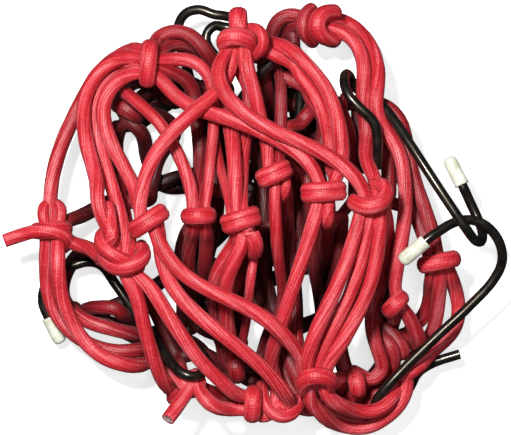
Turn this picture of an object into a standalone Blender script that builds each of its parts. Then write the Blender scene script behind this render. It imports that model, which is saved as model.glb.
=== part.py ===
"""Cargo net of knotted elastic cord with six wire hooks, gathered into a loose bundle.

Metres, +Z up. The bundle lies on its back on the floor at z = 0, its face up, and the
origin is under the middle of its outline. +X is its right and +Y its top.

The net is one solid: its cords meet in knots, where each is fused with the cord that
wraps it. Where it meets the floor it is pressed flat. Hooks and sleeves are their own solids.
"""

import math
from collections import namedtuple

import bmesh
import bpy
import numpy as np
from mathutils import Matrix, Vector

MM = 0.001

# Cord and wire.
CORD_R = 3 * MM
WIRE_R = 2 * MM
SLEEVE_R = 2.9 * MM

# The layout sheet: places are given in its squares, x to the right and y down.
SQUARE = 0.4 * MM
SHEET_CENTRE = (254, 218)

# The bundle's top surface is a dome over an ellipse of sheet squares.
DOME_CENTRE = (245, 218)
DOME_HALF = (222, 222)
RIM_HEIGHT = 15 * MM
CROWN_HEIGHT = 58 * MM

# Knots: cords side by side inside one lie this far apart, and the wrap goes round them.
SLOT_STEP = 4.8 * MM
WRAP_DEPTH = 4.8 * MM
WRAP_POINTS = 8
CORE_HALF_LENGTH = 4.4 * MM
CORE_HALF_HEIGHT = 5.0 * MM
LEAD = 6.5 * MM

# Where a cord or knot touches the floor, this much of it is pressed flat.
PRESSED = 0.8 * MM

# Cords are laid by their levels and then eased apart, so that none lies in another.
LINE_STEP = 3 * MM
CORD_GAP = 6.6 * MM
WIRE_GAP = CORD_R + WIRE_R + 0.7 * MM
SLEEVE_GAP = CORD_R + SLEEVE_R + 0.8 * MM
EASING_PASSES = 160
MOST_PUSH = 1.2 * MM
PUSH_SHARE = 0.7
LIFT_BIAS = 0.8 * MM
PAIRS_RENEWED = 16
NEAR_PAIR = 15 * MM
SAME_CORD_APART = 16 * MM
KNOT_ZONE = 16 * MM
SIDEWAYS_SHARE = 0.45

# Stations along a faceted tube: a new one after this much turn or this much length.
MOST_TURN = math.radians(35)
WRAP_TURN = math.radians(42)
WIRE_TURN = math.radians(16)
MOST_RUN = 26 * MM
TURN_AT_WIRE = math.radians(12)
CLOSE_TO_WIRE = 8 * MM
TUBE_RESOLUTION = 1

# The net's joins: the exact solver leaves doubled edges where many cords meet in a knot.
# Faces that turn less than NEARLY_FLAT are then joined.
SOLVER = "MANIFOLD"
NEARLY_FLAT = math.radians(7)

# The slab that presses the cords flat, and the distance at which points are one.
FLOOR_WIDTH = 400 * MM
FLOOR_DEPTH = 20 * MM
WELD = 0.001 * MM

# ---------------------------------------------------------------------------
# Tables. gx and gy are sheet squares; level is the share of the dome's height.

Knot = namedtuple("Knot", "gx gy level turn reach")
Via = namedtuple("Via", "gx gy level")
Strand = namedtuple("Strand", "start start_slot vias end end_slot")
Loop = namedtuple("Loop", "knot points")
Bend = namedtuple("Bend", "gx gy rise")

# turn: the wrap's direction, in degrees from +X; reach: half the wrap's outer length, in mm.
KNOTS = {
    "shoulder": Knot(149, 62, 1.00, 88, 9.6),
    "crown": Knot(240, 42, 1.02, 15, 9.0),
    "brow": Knot(318, 27, 0.80, 84, 8.0),
    "west": Knot(51, 230, 0.78, 4, 9.0),
    "cheek": Knot(119, 259, 0.98, -25, 9.0),
    "left": Knot(149, 222, 1.00, 33, 9.6),
    "small": Knot(199, 216, 0.84, 2, 7.4),
    "heart": Knot(240, 221, 0.96, 18, 8.8),
    "upper": Knot(273, 173, 0.84, 20, 8.4),
    "middle": Knot(323, 192, 0.97, 4, 9.8),
    "right": Knot(370, 203, 1.02, 4, 9.8),
    "east": Knot(440, 262, 0.80, 12, 9.0),
    "lower_east": Knot(394, 305, 0.72, 46, 6.8),
    "hem": Knot(315, 378, 1.02, 18, 9.2),
    "tuck": Knot(360, 385, 0.62, 98, 7.0),
    "foot": Knot(282, 406, 0.86, -10, 7.6),
    "toe": Knot(254, 403, 0.80, 88, 7.4),
    "heel": Knot(190, 380, 0.80, 30, 7.4),
    "back_left": Knot(128, 112, 0.42, 150, 8.0),
    "back_top": Knot(217, 91, 0.28, 14, 7.4),
    "back_middle": Knot(258, 200, 0.05, 70, 8.0),
    "back_right": Knot(318, 112, 0.08, 40, 8.0),
    "back_east": Knot(398, 340, 0.08, 20, 8.0),
    "back_west": Knot(84, 316, 0.12, 70, 7.0),
    "back_low": Knot(176, 336, 0.10, 110, 8.0),
    "back_foot": Knot(238, 366, 0.40, 100, 7.0),
}

# One row for each cord between two knots: the knot and slot at each end, and its own points.
STRANDS = {
    # round the left side
    "left_arc_outer": Strand("shoulder", 0.5, [Via(120, 57, 0.95), Via(98, 70, 0.95), Via(84, 95, 0.97),
        Via(83, 120, 0.98), Via(90, 150, 0.98), Via(101, 185, 1.0), Via(109, 215, 1.0)], "cheek", -0.7),
    "left_arc_under": Strand("shoulder", 0.0, [Via(122, 63, 0.72), Via(105, 80, 0.72), Via(94, 103, 0.72),
        Via(94, 128, 0.74), Via(101, 153, 0.76), Via(109, 180, 0.8), Via(117, 208, 0.84)], "cheek", 0.1),
    "left_arc_inner": Strand("shoulder", -0.6, [Via(122, 74, 0.9), Via(106, 89, 0.88), Via(100, 109, 0.85),
        Via(103, 131, 0.8), Via(113, 151, 0.76), Via(125, 169, 0.76), Via(135, 190, 0.8)], "left", -0.3),
    "far_left": Strand("shoulder", 1.3, [Via(126, 48, 0.78), Via(98, 61, 0.68), Via(78, 90, 0.62),
        Via(66, 118, 0.6), Via(57, 150, 0.62), Via(50, 182, 0.68)], "west", -0.3),
    # from the shoulder to the right
    "top_rear": Strand("shoulder", 1.1, [Via(164, 35, 0.78), Via(182, 31, 0.7), Via(200, 42, 0.6),
        Via(210, 61, 0.44)], "back_top", -0.5),
    "top_rear_low": Strand("shoulder", 0.5, [Via(168, 47, 0.46), Via(188, 55, 0.24), Via(203, 70, 0.2)],
        "back_top", 0.5),
    "shoulder_drop": Strand("shoulder", 0.2, [Via(172, 57, 0.8), Via(194, 59, 0.84), Via(209, 74, 0.8),
        Via(215, 97, 0.74), Via(214, 128, 0.74), Via(212, 162, 0.76), Via(207, 193, 0.82)], "small", 0.5),
    "long_second": Strand("shoulder", -0.6, [Via(161, 83, 0.8), Via(180, 100, 0.82), Via(203, 112, 0.86),
        Via(230, 119, 0.92), Via(262, 132, 0.96), Via(290, 147, 0.98), Via(311, 163, 1.0)], "middle", -0.5),
    "shoulder_back": Strand("shoulder", -0.2, [Via(175, 75, 0.68), Via(190, 83, 0.54), Via(197, 112, 0.42),
        Via(199, 152, 0.44), Via(200, 190, 0.64)], "small", 0.0),
    "slanted": Strand("back_left", 0.5, [Via(119, 89, 0.62), Via(142, 106, 0.76),
        Via(163, 126, 0.78), Via(176, 149, 0.75), Via(186, 173, 0.77), Via(194, 198, 0.82)], "small", -0.5),
    # from the crown
    "crown_left": Strand("crown", -0.5, [Via(233, 68, 0.84), Via(223, 87, 0.86), Via(206, 103, 0.93),
        Via(185, 121, 0.98), Via(163, 144, 1.0), Via(148, 171, 1.0), Via(140, 198, 1.0)], "left", -0.8),
    "long_front": Strand("crown", -0.9, [Via(220, 63, 1.02), Via(220, 82, 1.04), Via(232, 101, 1.05),
        Via(251, 118, 1.06), Via(275, 132, 1.06), Via(302, 144, 1.06), Via(326, 154, 1.06),
        Via(347, 168, 1.06), Via(363, 184, 1.06)], "right", 0.0),
    "crown_middle": Strand("crown", 0.3, [Via(248, 64, 0.94), Via(254, 86, 0.86), Via(260, 110, 0.78),
        Via(266, 134, 0.72), Via(269, 152, 0.76)], "upper", -0.3),
    "crown_under": Strand("crown", 0.0, [Via(240, 66, 0.76), Via(244, 88, 0.62), Via(248, 112, 0.6),
        Via(245, 140, 0.74), Via(244, 170, 0.82), Via(244, 197, 0.88)], "heart", 0.3),
    "crown_right": Strand("crown", 1.0, [Via(266, 46, 1.02), Via(287, 54, 1.02), Via(309, 67, 1.02),
        Via(326, 87, 1.0), Via(336, 112, 0.96), Via(341, 140, 0.9), Via(344, 166, 0.9)], "middle", 0.8),
    "crown_down": Strand("crown", 0.7, [Via(269, 58, 0.78), Via(279, 74, 0.68), Via(281, 97, 0.64),
        Via(280, 122, 0.6), Via(281, 147, 0.62)], "upper", 0.5),
    "heart_left": Strand("crown", -0.2, [Via(234, 73, 0.56), Via(231, 100, 0.58), Via(232, 130, 0.72),
        Via(232, 165, 0.82), Via(233, 197, 0.88)], "heart", -0.3),
    "heart_thin": Strand("back_top", 0.3, [Via(211, 114, 0.26), Via(212, 134, 0.46), Via(218, 158, 0.64),
        Via(226, 184, 0.76), Via(231, 205, 0.82)], "heart", -0.9),
    # round the top right
    "brow_outer": Strand("brow", 0.7, [Via(341, 20, 0.8), Via(362, 34, 0.8), Via(375, 56, 0.8),
        Via(379, 80, 0.8), Via(375, 104, 0.76), Via(383, 128, 0.72), Via(397, 153, 0.74),
        Via(405, 182, 0.76), Via(405, 214, 0.76), Via(400, 247, 0.74), Via(395, 277, 0.72)], "lower_east", 0.4),
    "brow_inner": Strand("brow", -0.4, [Via(344, 38, 0.8), Via(356, 60, 0.8), Via(360, 82, 0.78),
        Via(362, 102, 0.72), Via(366, 127, 0.66), Via(368, 152, 0.72), Via(371, 176, 0.86)], "right", 0.4),
    "brow_left": Strand("brow", 0.5, [Via(300, 16, 0.7), Via(284, 13, 0.62), Via(273, 25, 0.5),
        Via(271, 45, 0.36), Via(273, 70, 0.26), Via(282, 96, 0.2)], "back_right", -0.6),
    "brow_back": Strand("brow", -0.4, [Via(303, 31, 0.6), Via(291, 38, 0.44), Via(292, 60, 0.3),
        Via(303, 88, 0.2)], "back_right", 0.3),
    "east_outer": Strand("back_right", 0.7, [Via(345, 100, 0.3), Via(368, 99, 0.45), Via(388, 106, 0.58),
        Via(402, 119, 0.64), Via(406, 142, 0.62), Via(411, 173, 0.64), Via(423, 205, 0.66),
        Via(434, 237, 0.72)], "east", 0.1),
    "east_inner": Strand("back_right", 0.2, [Via(345, 132, 0.25), Via(372, 148, 0.3), Via(394, 165, 0.42),
        Via(408, 188, 0.52), Via(418, 214, 0.56), Via(428, 240, 0.64)], "east", -0.6),
    # from the middle knots downwards
    "middle_left": Strand("middle", -0.5, [Via(313, 213, 0.98), Via(305, 240, 0.95), Via(297, 268, 0.92),
        Via(288, 297, 0.88), Via(281, 325, 0.8), Via(272, 352, 0.62), Via(265, 376, 0.56)], "foot", -0.5),
    "middle_right": Strand("middle", 0.4, [Via(328, 213, 0.8), Via(328, 228, 0.58), Via(323, 252, 0.3),
        Via(322, 285, 0.14), Via(325, 320, 0.1), Via(340, 355, 0.3)], "tuck", 0.3),
    "upper_left": Strand("upper", -0.2, [Via(274, 192, 0.8), Via(275, 218, 0.78), Via(274, 246, 0.7),
        Via(277, 275, 0.56), Via(272, 305, 0.4), Via(262, 335, 0.34)], "back_foot", 0.7),
    "upper_right": Strand("upper", 0.5, [Via(287, 190, 0.64), Via(284, 207, 0.42), Via(289, 232, 0.3),
        Via(289, 262, 0.28), Via(283, 292, 0.3), Via(286, 325, 0.4), Via(296, 352, 0.66)], "hem", -0.9),
    "small_left": Strand("small", -0.3, [Via(196, 234, 0.56), Via(191, 254, 0.36), Via(197, 278, 0.24),
        Via(206, 305, 0.2), Via(200, 330, 0.14)], "back_low", 0.5),
    "small_right": Strand("small", 0.6, [Via(212, 233, 0.6), Via(217, 246, 0.46), Via(208, 266, 0.3),
        Via(196, 290, 0.14), Via(186, 315, 0.1)], "back_low", -0.3),
    "heart_down": Strand("heart", -0.1, [Via(240, 240, 0.95), Via(230, 256, 0.92), Via(224, 276, 0.85),
        Via(222, 300, 0.72), Via(226, 327, 0.62), Via(232, 348, 0.5)], "back_foot", 0.0),
    "heart_down_left": Strand("heart", -0.6, [Via(230, 240, 0.74), Via(217, 260, 0.66), Via(213, 284, 0.55),
        Via(217, 310, 0.45), Via(225, 338, 0.42)], "back_foot", -0.6),
    "heart_curl": Strand("heart", 0.7, [Via(254, 254, 0.86), Via(251, 278, 0.82), Via(248, 302, 0.68),
        Via(244, 330, 0.5), Via(241, 350, 0.44)], "back_foot", 0.4),
    "left_front": Strand("left", 0.2, [Via(156, 239, 1.02), Via(167, 257, 1.03), Via(184, 275, 1.05),
        Via(207, 290, 1.06), Via(235, 302, 1.06), Via(262, 315, 1.06), Via(283, 332, 1.06),
        Via(297, 347, 1.0), Via(304, 358, 0.9)], "hem", -0.5),
    "left_second": Strand("left", 0.7, [Via(160, 244, 0.9), Via(165, 264, 0.92), Via(175, 287, 0.96),
        Via(192, 310, 1.0), Via(215, 333, 1.03), Via(240, 354, 1.05), Via(262, 374, 1.06),
        Via(277, 391, 1.04)], "foot", 0.0),
    "cheek_front": Strand("cheek", 0.7, [Via(150, 284, 1.0), Via(165, 306, 1.0), Via(182, 333, 1.0),
        Via(199, 358, 1.0), Via(216, 376, 1.0), Via(236, 391, 0.98)], "toe", 0.5),
    "cheek_down": Strand("cheek", 0.2, [Via(137, 291, 0.98), Via(142, 316, 0.98), Via(149, 345, 0.96),
        Via(158, 372, 0.92), Via(170, 391, 0.84), Via(183, 396, 0.66)], "heel", 0.6),
    "cheek_behind": Strand("cheek", 0.4, [Via(147, 301, 0.68), Via(158, 320, 0.66), Via(170, 338, 0.66),
        Via(181, 357, 0.62)], "heel", -0.2),
    # round the bottom left
    "west_inner": Strand("west", -0.6, [Via(43, 257, 0.72), Via(43, 283, 0.66), Via(50, 309, 0.58),
        Via(64, 330, 0.5), Via(85, 345, 0.46), Via(110, 353, 0.44), Via(137, 354, 0.4)], "back_low", -0.6),
    "west_outer": Strand("west", 0.6, [Via(60, 262, 0.88), Via(61, 290, 0.86), Via(68, 318, 0.82),
        Via(82, 342, 0.8), Via(102, 359, 0.78), Via(124, 365, 0.74), Via(143, 363, 0.48)],
        "back_low", 0.2),
    "west_cheek": Strand("west", 0.7, [Via(76, 243, 0.66)], "cheek", -1.1),
    "west_back": Strand("west", 1.1, [Via(74, 220, 0.4), Via(93, 209, 0.24), Via(120, 197, 0.12),
        Via(151, 186, 0.06), Via(183, 176, 0.04), Via(220, 176, 0.02)], "back_middle", 0.7),
    "cheek_round": Strand("cheek", -0.8, [Via(88, 248, 0.66), Via(74, 257, 0.5), Via(67, 275, 0.4),
        Via(68, 298, 0.4), Via(78, 318, 0.42), Via(97, 326, 0.42), Via(119, 331, 0.38),
        Via(141, 336, 0.26)], "back_low", 0.7),
    "west_floor": Strand("back_west", -0.3, [Via(103, 314, 0.16), Via(119, 306, 0.2), Via(126, 318, 0.22),
        Via(136, 342, 0.16), Via(158, 370, 0.3)], "heel", -0.6),
    "cheek_up": Strand("back_left", -0.4, [Via(113, 132, 0.34), Via(113, 160, 0.32), Via(118, 190, 0.42),
        Via(125, 216, 0.62)], "cheek", 0.7),
    # round the bottom
    "toe_left": Strand("heel", 0.3, [Via(204, 393, 0.72), Via(218, 404, 0.74), Via(236, 409, 0.76)],
        "toe", -0.7),
    "toe_foot": Strand("toe", 0.1, [Via(267, 402, 0.8)], "foot", 0.4),
    "foot_tuck": Strand("foot", -0.4, [Via(302, 411, 0.68), Via(320, 411, 0.54), Via(340, 402, 0.5)],
        "tuck", -0.5),
    "hem_tuck": Strand("hem", 0.9, [Via(343, 381, 0.6)], "tuck", 0.5),
    "hem_left": Strand("right", -0.8, [Via(353, 232, 1.03), Via(340, 259, 1.05), Via(326, 286, 1.05),
        Via(314, 316, 1.05), Via(306, 347, 1.04)], "hem", -0.8),
    "hem_middle": Strand("right", 0.0, [Via(365, 231, 1.0), Via(358, 259, 1.0), Via(346, 287, 1.0),
        Via(333, 316, 1.0), Via(321, 345, 1.0)], "hem", 0.0),
    "hem_right": Strand("right", 0.8, [Via(378, 231, 1.0), Via(377, 259, 1.0), Via(371, 287, 1.0),
        Via(359, 314, 1.0), Via(344, 341, 1.0), Via(332, 361, 1.0)], "hem", 0.8),
    "right_back": Strand("right", 1.2, [Via(388, 226, 0.66), Via(390, 256, 0.5), Via(382, 290, 0.42),
        Via(374, 318, 0.5), Via(379, 341, 0.54), Via(386, 360, 0.5), Via(378, 376, 0.5)], "tuck", 0.9),
    "arc_outer": Strand("hem", -0.3, [Via(312, 401, 0.98), Via(328, 417, 0.94), Via(352, 426, 0.9),
        Via(380, 422, 0.86), Via(401, 408, 0.8), Via(408, 392, 0.72), Via(407, 376, 0.6),
        Via(424, 362, 0.56), Via(443, 351, 0.6), Via(457, 334, 0.66), Via(461, 310, 0.7),
        Via(455, 285, 0.74)], "east", 0.6),
    "arc_inner": Strand("hem", 0.5, [Via(332, 396, 0.98), Via(350, 409, 0.92), Via(374, 411, 0.82),
        Via(393, 401, 0.66), Via(400, 384, 0.46), Via(414, 362, 0.32), Via(430, 340, 0.36),
        Via(437, 314, 0.46), Via(439, 288, 0.6)], "east", 0.0),
    "east_back": Strand("east", -0.7, [Via(431, 284, 0.46), Via(431, 308, 0.26), Via(422, 327, 0.2)],
        "back_east", 0.8),
    "lower_east_out": Strand("lower_east", 0.3, [Via(410, 316, 0.64), Via(417, 334, 0.56),
        Via(412, 352, 0.36)], "back_east", 0.4),
    "lower_east_in": Strand("lower_east", -0.5, [Via(390, 322, 0.5)], "back_east", -0.3),
    # along the floor
    "floor_top_left": Strand("back_top", -0.9, [Via(190, 104, 0.12), Via(160, 104, 0.1)], "back_left", -0.4),
    "floor_left": Strand("back_left", 0.2, [Via(140, 138, 0.2), Via(150, 168, 0.0), Via(185, 196, 0.0),
        Via(224, 204, 0.0)], "back_middle", 0.2),
    "floor_right": Strand("back_right", 0.0, [Via(322, 140, 0.0), Via(310, 170, 0.0), Via(286, 190, 0.0)],
        "back_middle", -0.3),
    "floor_east": Strand("back_middle", -0.8, [Via(300, 222, 0.0), Via(345, 250, 0.0), Via(375, 288, 0.0),
        Via(386, 318, 0.02)], "back_east", -0.8),
    "floor_west": Strand("back_middle", 0.4, [Via(222, 234, 0.0), Via(186, 262, 0.0), Via(150, 290, 0.0),
        Via(118, 309, 0.02)], "back_west", 0.3),
    "floor_foot": Strand("back_low", -0.2, [Via(200, 352, 0.0), Via(222, 372, 0.1)], "back_foot", -0.7),
    "floor_hem": Strand("back_foot", 0.6, [Via(262, 384, 0.16), Via(300, 388, 0.02), Via(345, 372, 0.0),
        Via(376, 354, 0.02)], "back_east", -0.2),
}

# Wraps that aren't a plain turn: rise is the height over the knot's middle, in mm.
LOOPS = {
    "crown_band": Loop("crown", [Bend(226, 52, -4), Bend(218, 45, 2), Bend(226, 35, 6), Bend(240, 32, 7.5),
        Bend(253, 35, 6), Bend(259, 43, 1), Bend(252, 52, -4)]),
    "crown_ring": Loop("crown", [Bend(244, 26, -4), Bend(256, 23, 0), Bend(266, 30, 2), Bend(269, 42, 3),
        Bend(262, 53, 1), Bend(251, 57, -4)]),
    "crown_bight": Loop("crown", [Bend(238, 40, 0), Bend(238, 24, 1.5), Bend(238, 15, 0), Bend(238, 15, -5),
        Bend(239, 26, -7), Bend(240, 42, -6)]),
    "brow_band": Loop("brow", [Bend(333, 9, -3), Bend(321, 10, 3), Bend(313, 21, 6.5), Bend(315, 34, 6.5),
        Bend(325, 42, 3), Bend(336, 41, -3)]),
    "brow_second": Loop("brow", [Bend(311, 9, -3), Bend(303, 14, 2), Bend(301, 25, 4), Bend(304, 35, 2),
        Bend(312, 41, -3)]),
    "west_tail": Loop("west", [Bend(4, 241, -2), Bend(21, 236, 1), Bend(38, 231, 5), Bend(54, 231, 6.5),
        Bend(67, 235, 4), Bend(71, 243, -1), Bend(60, 248, -5)]),
    "west_left": Loop("west", [Bend(49, 224, 1), Bend(39, 220, 2), Bend(35, 210, 1), Bend(41, 202, -3),
        Bend(50, 206, -7)]),
    "west_right": Loop("west", [Bend(56, 226, -2), Bend(66, 217, 1), Bend(66, 207, 1), Bend(58, 201, -3),
        Bend(52, 207, -7)]),
    "cheek_band": Loop("cheek", [Bend(110, 226, -4), Bend(98, 229, 2), Bend(95, 241, 5), Bend(105, 252, 6.5),
        Bend(119, 257, 7), Bend(132, 262, 4), Bend(140, 268, -3)]),
    "cheek_second": Loop("cheek", [Bend(99, 250, -3), Bend(104, 262, 3), Bend(115, 269, 6.5),
        Bend(128, 270, 7.5), Bend(141, 263, 7), Bend(151, 255, 3), Bend(145, 247, -3)]),
    "heart_curl_band": Loop("heart", [Bend(244, 224, 0), Bend(256, 226, 4), Bend(262, 238, 4),
        Bend(257, 249, 1), Bend(247, 252, -4)]),
    "right_band": Loop("right", [Bend(369, 180, -4), Bend(382, 176, 1), Bend(393, 184, 4), Bend(396, 197, 5),
        Bend(388, 208, 6.5), Bend(374, 212, 7.5), Bend(359, 211, 6.5), Bend(347, 206, 2),
        Bend(351, 197, -4)]),
    "hem_band": Loop("hem", [Bend(303, 389, -4), Bend(298, 381, 2), Bend(307, 374, 6.5), Bend(320, 371, 7.5),
        Bend(331, 373, 6), Bend(336, 381, 1), Bend(327, 388, -4)]),
    "foot_band": Loop("foot", [Bend(272, 396, -3), Bend(267, 405, 2), Bend(271, 415, 5), Bend(282, 419, 6),
        Bend(294, 414, 5), Bend(299, 404, 1), Bend(292, 396, -4)]),
    "heel_tail": Loop("heel", [Bend(196, 374, -1), Bend(190, 388, 2), Bend(181, 401, 0), Bend(169, 417, -5)]),
}

# Each hook is one wire from the end of its sleeve to its eye. rise is the height of the
# wire's middle over the floor, in mm. The first two bends are the ends of the sleeve.
HOOKS = {
    "hook_top": [Bend(199, 138, 20), Bend(195, 108, 19.5), Bend(190, 80, 18.5), Bend(183, 55, 16.5),
        Bend(178, 38, 16.5), Bend(178, 25, 18), Bend(185, 13, 20), Bend(199, 9, 21.5), Bend(214, 14, 22.5),
        Bend(228, 16, 22), Bend(238, 22, 19), Bend(229, 27, 16.5), Bend(214, 25, 17), Bend(206, 35, 17.5),
        Bend(208, 46, 18), Bend(215, 55, 18)],
    "hook_right": [Bend(448, 157, 30), Bend(462, 185, 31), Bend(470, 202, 30), Bend(477, 217, 30),
        Bend(482, 231, 32), Bend(481, 241, 36), Bend(474, 240, 41), Bend(464, 227, 44.5),
        Bend(447, 202, 44.5), Bend(428, 173, 42.5), Bend(410, 145, 39), Bend(394, 121, 34),
        Bend(380, 103, 29.5), Bend(364, 88, 26), Bend(351, 76, 26.5), Bend(344, 77, 31),
        Bend(345, 88, 36.5), Bend(354, 101, 39.5), Bend(366, 113, 40.5), Bend(375, 124, 40),
        Bend(378, 141, 37.5), Bend(378, 164, 34)],
    "hook_lower_right": [Bend(400, 262, 42.5), Bend(425, 241, 43), Bend(440, 230, 42), Bend(455, 222, 39.5),
        Bend(471, 220, 38), Bend(487, 227, 36.5), Bend(499, 242, 33.5), Bend(502, 262, 30),
        Bend(493, 281, 28), Bend(470, 306, 26.5), Bend(440, 334, 25.5), Bend(405, 368, 24.5),
        Bend(384, 391, 23.5), Bend(376, 403, 20.5), Bend(378, 410, 15.5), Bend(388, 411, 10.5),
        Bend(402, 402, 8), Bend(411, 389, 8), Bend(419, 374, 9), Bend(434, 364, 10), Bend(461, 355, 11)],
    "hook_left": [Bend(60, 344, 7.5), Bend(47, 318, 8), Bend(41, 302, 8.5), Bend(44, 286, 9.5),
        Bend(56, 273, 11), Bend(72, 266, 12), Bend(88, 262, 12.5), Bend(101, 266, 13), Bend(113, 282, 13),
        Bend(127, 302, 15), Bend(142, 323, 18), Bend(156, 343, 21), Bend(168, 360, 21),
        Bend(182, 372, 19), Bend(198, 375, 17), Bend(208, 367, 13), Bend(206, 355, 9)],
    "hook_inner": [Bend(222, 124, 24), Bend(238, 103, 25.5), Bend(251, 86, 28.8), Bend(269, 65, 32),
        Bend(284, 50, 33), Bend(293, 47, 31), Bend(300, 57, 27), Bend(302, 77, 23), Bend(300, 103, 21),
        Bend(298, 130, 20)],
    "hook_back": [Bend(255, 124, 3.8), Bend(253, 94, 3.8), Bend(252, 82, 3.8), Bend(246, 70, 3.8),
        Bend(234, 66, 3.8), Bend(220, 72, 3.8), Bend(203, 83, 3.8), Bend(186, 94, 3.8), Bend(166, 106, 3.8),
        Bend(146, 117, 3.8), Bend(130, 126, 3.8), Bend(121, 131, 3.8)],
}

# Sleeves: turned caps pushed over the ends of the wires. The profile's rounded end is
# given by shares of the radius at depths below the end.
SLEEVE_BORE_R = 2.45 * MM
SLEEVE_END = 1.6 * MM
SLEEVE_TIP = [(0.0, 0.0), (0.55, 0.25 * MM), (0.88, 1.0 * MM), (1.0, 2.4 * MM)]
SLEEVE_MOUTH = 0.3 * MM
SLEEVE_STEPS = 10
FIT_GAP = 0.35 * MM
WIRE_LEAD = 2.5 * MM

NET_RED = (0.62, 0.012, 0.035, 1)
WIRE_BLACK = (0.008, 0.008, 0.009, 1)
SLEEVE_WHITE = (0.72, 0.72, 0.6, 1)


# ---------------------------------------------------------------------------
# Places and lines.

def dome_height(gx, gy):
    across = (gx - DOME_CENTRE[0]) / DOME_HALF[0]
    down = (gy - DOME_CENTRE[1]) / DOME_HALF[1]
    inside = max(0.0, 1 - across ** 2 - down ** 2)
    return RIM_HEIGHT + (CROWN_HEIGHT - RIM_HEIGHT) * math.sqrt(inside)


def place(gx, gy, z):
    return np.array([(gx - SHEET_CENTRE[0]) * SQUARE, (SHEET_CENTRE[1] - gy) * SQUARE, z])


def at_level(gx, gy, level):
    lowest = CORD_R - PRESSED
    return place(gx, gy, lowest + level * (dome_height(gx, gy) - lowest))


def knot_centre(name):
    knot = KNOTS[name]
    centre = at_level(knot.gx, knot.gy, knot.level)
    centre[2] = max(centre[2], WRAP_DEPTH + CORD_R - PRESSED)
    return centre


def knot_axes(name):
    turn = math.radians(KNOTS[name].turn)
    along_band = np.array([math.cos(turn), math.sin(turn), 0])
    along_cords = np.array([-math.sin(turn), math.cos(turn), 0])
    return along_band, along_cords


def unit(vector):
    return vector / max(np.linalg.norm(vector), 1e-12)


def smooth_line(points, step):
    """Even points along a centripetal Catmull-Rom curve through the given ones."""
    points = np.asarray(points, float)
    ends = [2 * points[0] - points[1], 2 * points[-1] - points[-2]]
    cage = np.vstack([ends[:1], points, ends[1:]])
    fine = []
    for index in range(len(points) - 1):
        corner = cage[index:index + 4]
        knots = np.concatenate([[0], np.cumsum(np.sqrt(np.linalg.norm(np.diff(corner, axis=0), axis=1)))])
        t = np.linspace(knots[1], knots[2], 12, endpoint=False)[:, None]
        first = [((knots[k + 1] - t) * corner[k] + (t - knots[k]) * corner[k + 1])
                 / (knots[k + 1] - knots[k]) for k in range(3)]
        second = [((knots[k + 2] - t) * first[k] + (t - knots[k]) * first[k + 1])
                  / (knots[k + 2] - knots[k]) for k in range(2)]
        fine.append(((knots[2] - t) * second[0] + (t - knots[1]) * second[1]) / (knots[2] - knots[1]))
    fine = np.vstack(fine + [points[-1:]])
    run = np.concatenate([[0], np.cumsum(np.linalg.norm(np.diff(fine, axis=0), axis=1))])
    count = max(2, int(round(run[-1] / step)) + 1)
    even = np.linspace(0, run[-1], count)
    return np.stack([np.interp(even, run, fine[:, axis]) for axis in range(3)], axis=1)


def strand_end(name, slot, towards):
    """A cord's end inside its knot, and the point where it leaves it."""
    along_band, along_cords = knot_axes(name)
    start = knot_centre(name) + along_band * slot * SLOT_STEP
    heading = unit(towards - start)
    side = 1 if np.dot(heading, along_cords) >= 0 else -1
    return [start, start + unit(side * along_cords + heading) * LEAD]


def strand_line(row):
    middle = [at_level(*via) for via in row.vias]
    first = strand_end(row.start, row.start_slot, middle[0])
    last = strand_end(row.end, row.end_slot, middle[-1])
    return smooth_line(first + middle + last[::-1], LINE_STEP)


def loop_line(row):
    middle = knot_centre(row.knot)
    return smooth_line([place(gx, gy, middle[2] + rise * MM) for gx, gy, rise in row.points], LINE_STEP)


def hook_line(bends):
    """The ends of the sleeve, and the wire from just outside it to the eye."""
    closed_end, open_end, *points = [place(gx, gy, rise * MM) for gx, gy, rise in bends]
    leaving = open_end + unit(open_end - closed_end) * WIRE_LEAD
    return closed_end, open_end, smooth_line([leaving] + points, LINE_STEP)


def ring_line(name):
    """The wrap of a plain knot, a closed ring round the cords inside it."""
    along_band, along_cords = knot_axes(name)
    middle = knot_centre(name)
    half = KNOTS[name].reach * MM - CORD_R
    turns = np.arange(WRAP_POINTS) * 2 * math.pi / WRAP_POINTS
    return [middle + along_band * half * math.cos(t) + np.array([0, 0, WRAP_DEPTH * math.sin(t)])
            for t in turns]


# ---------------------------------------------------------------------------
# Easing: the cords are pushed apart where they would lie in each other, in a wire or
# in a knot that isn't theirs. The higher level stays on top.

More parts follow.
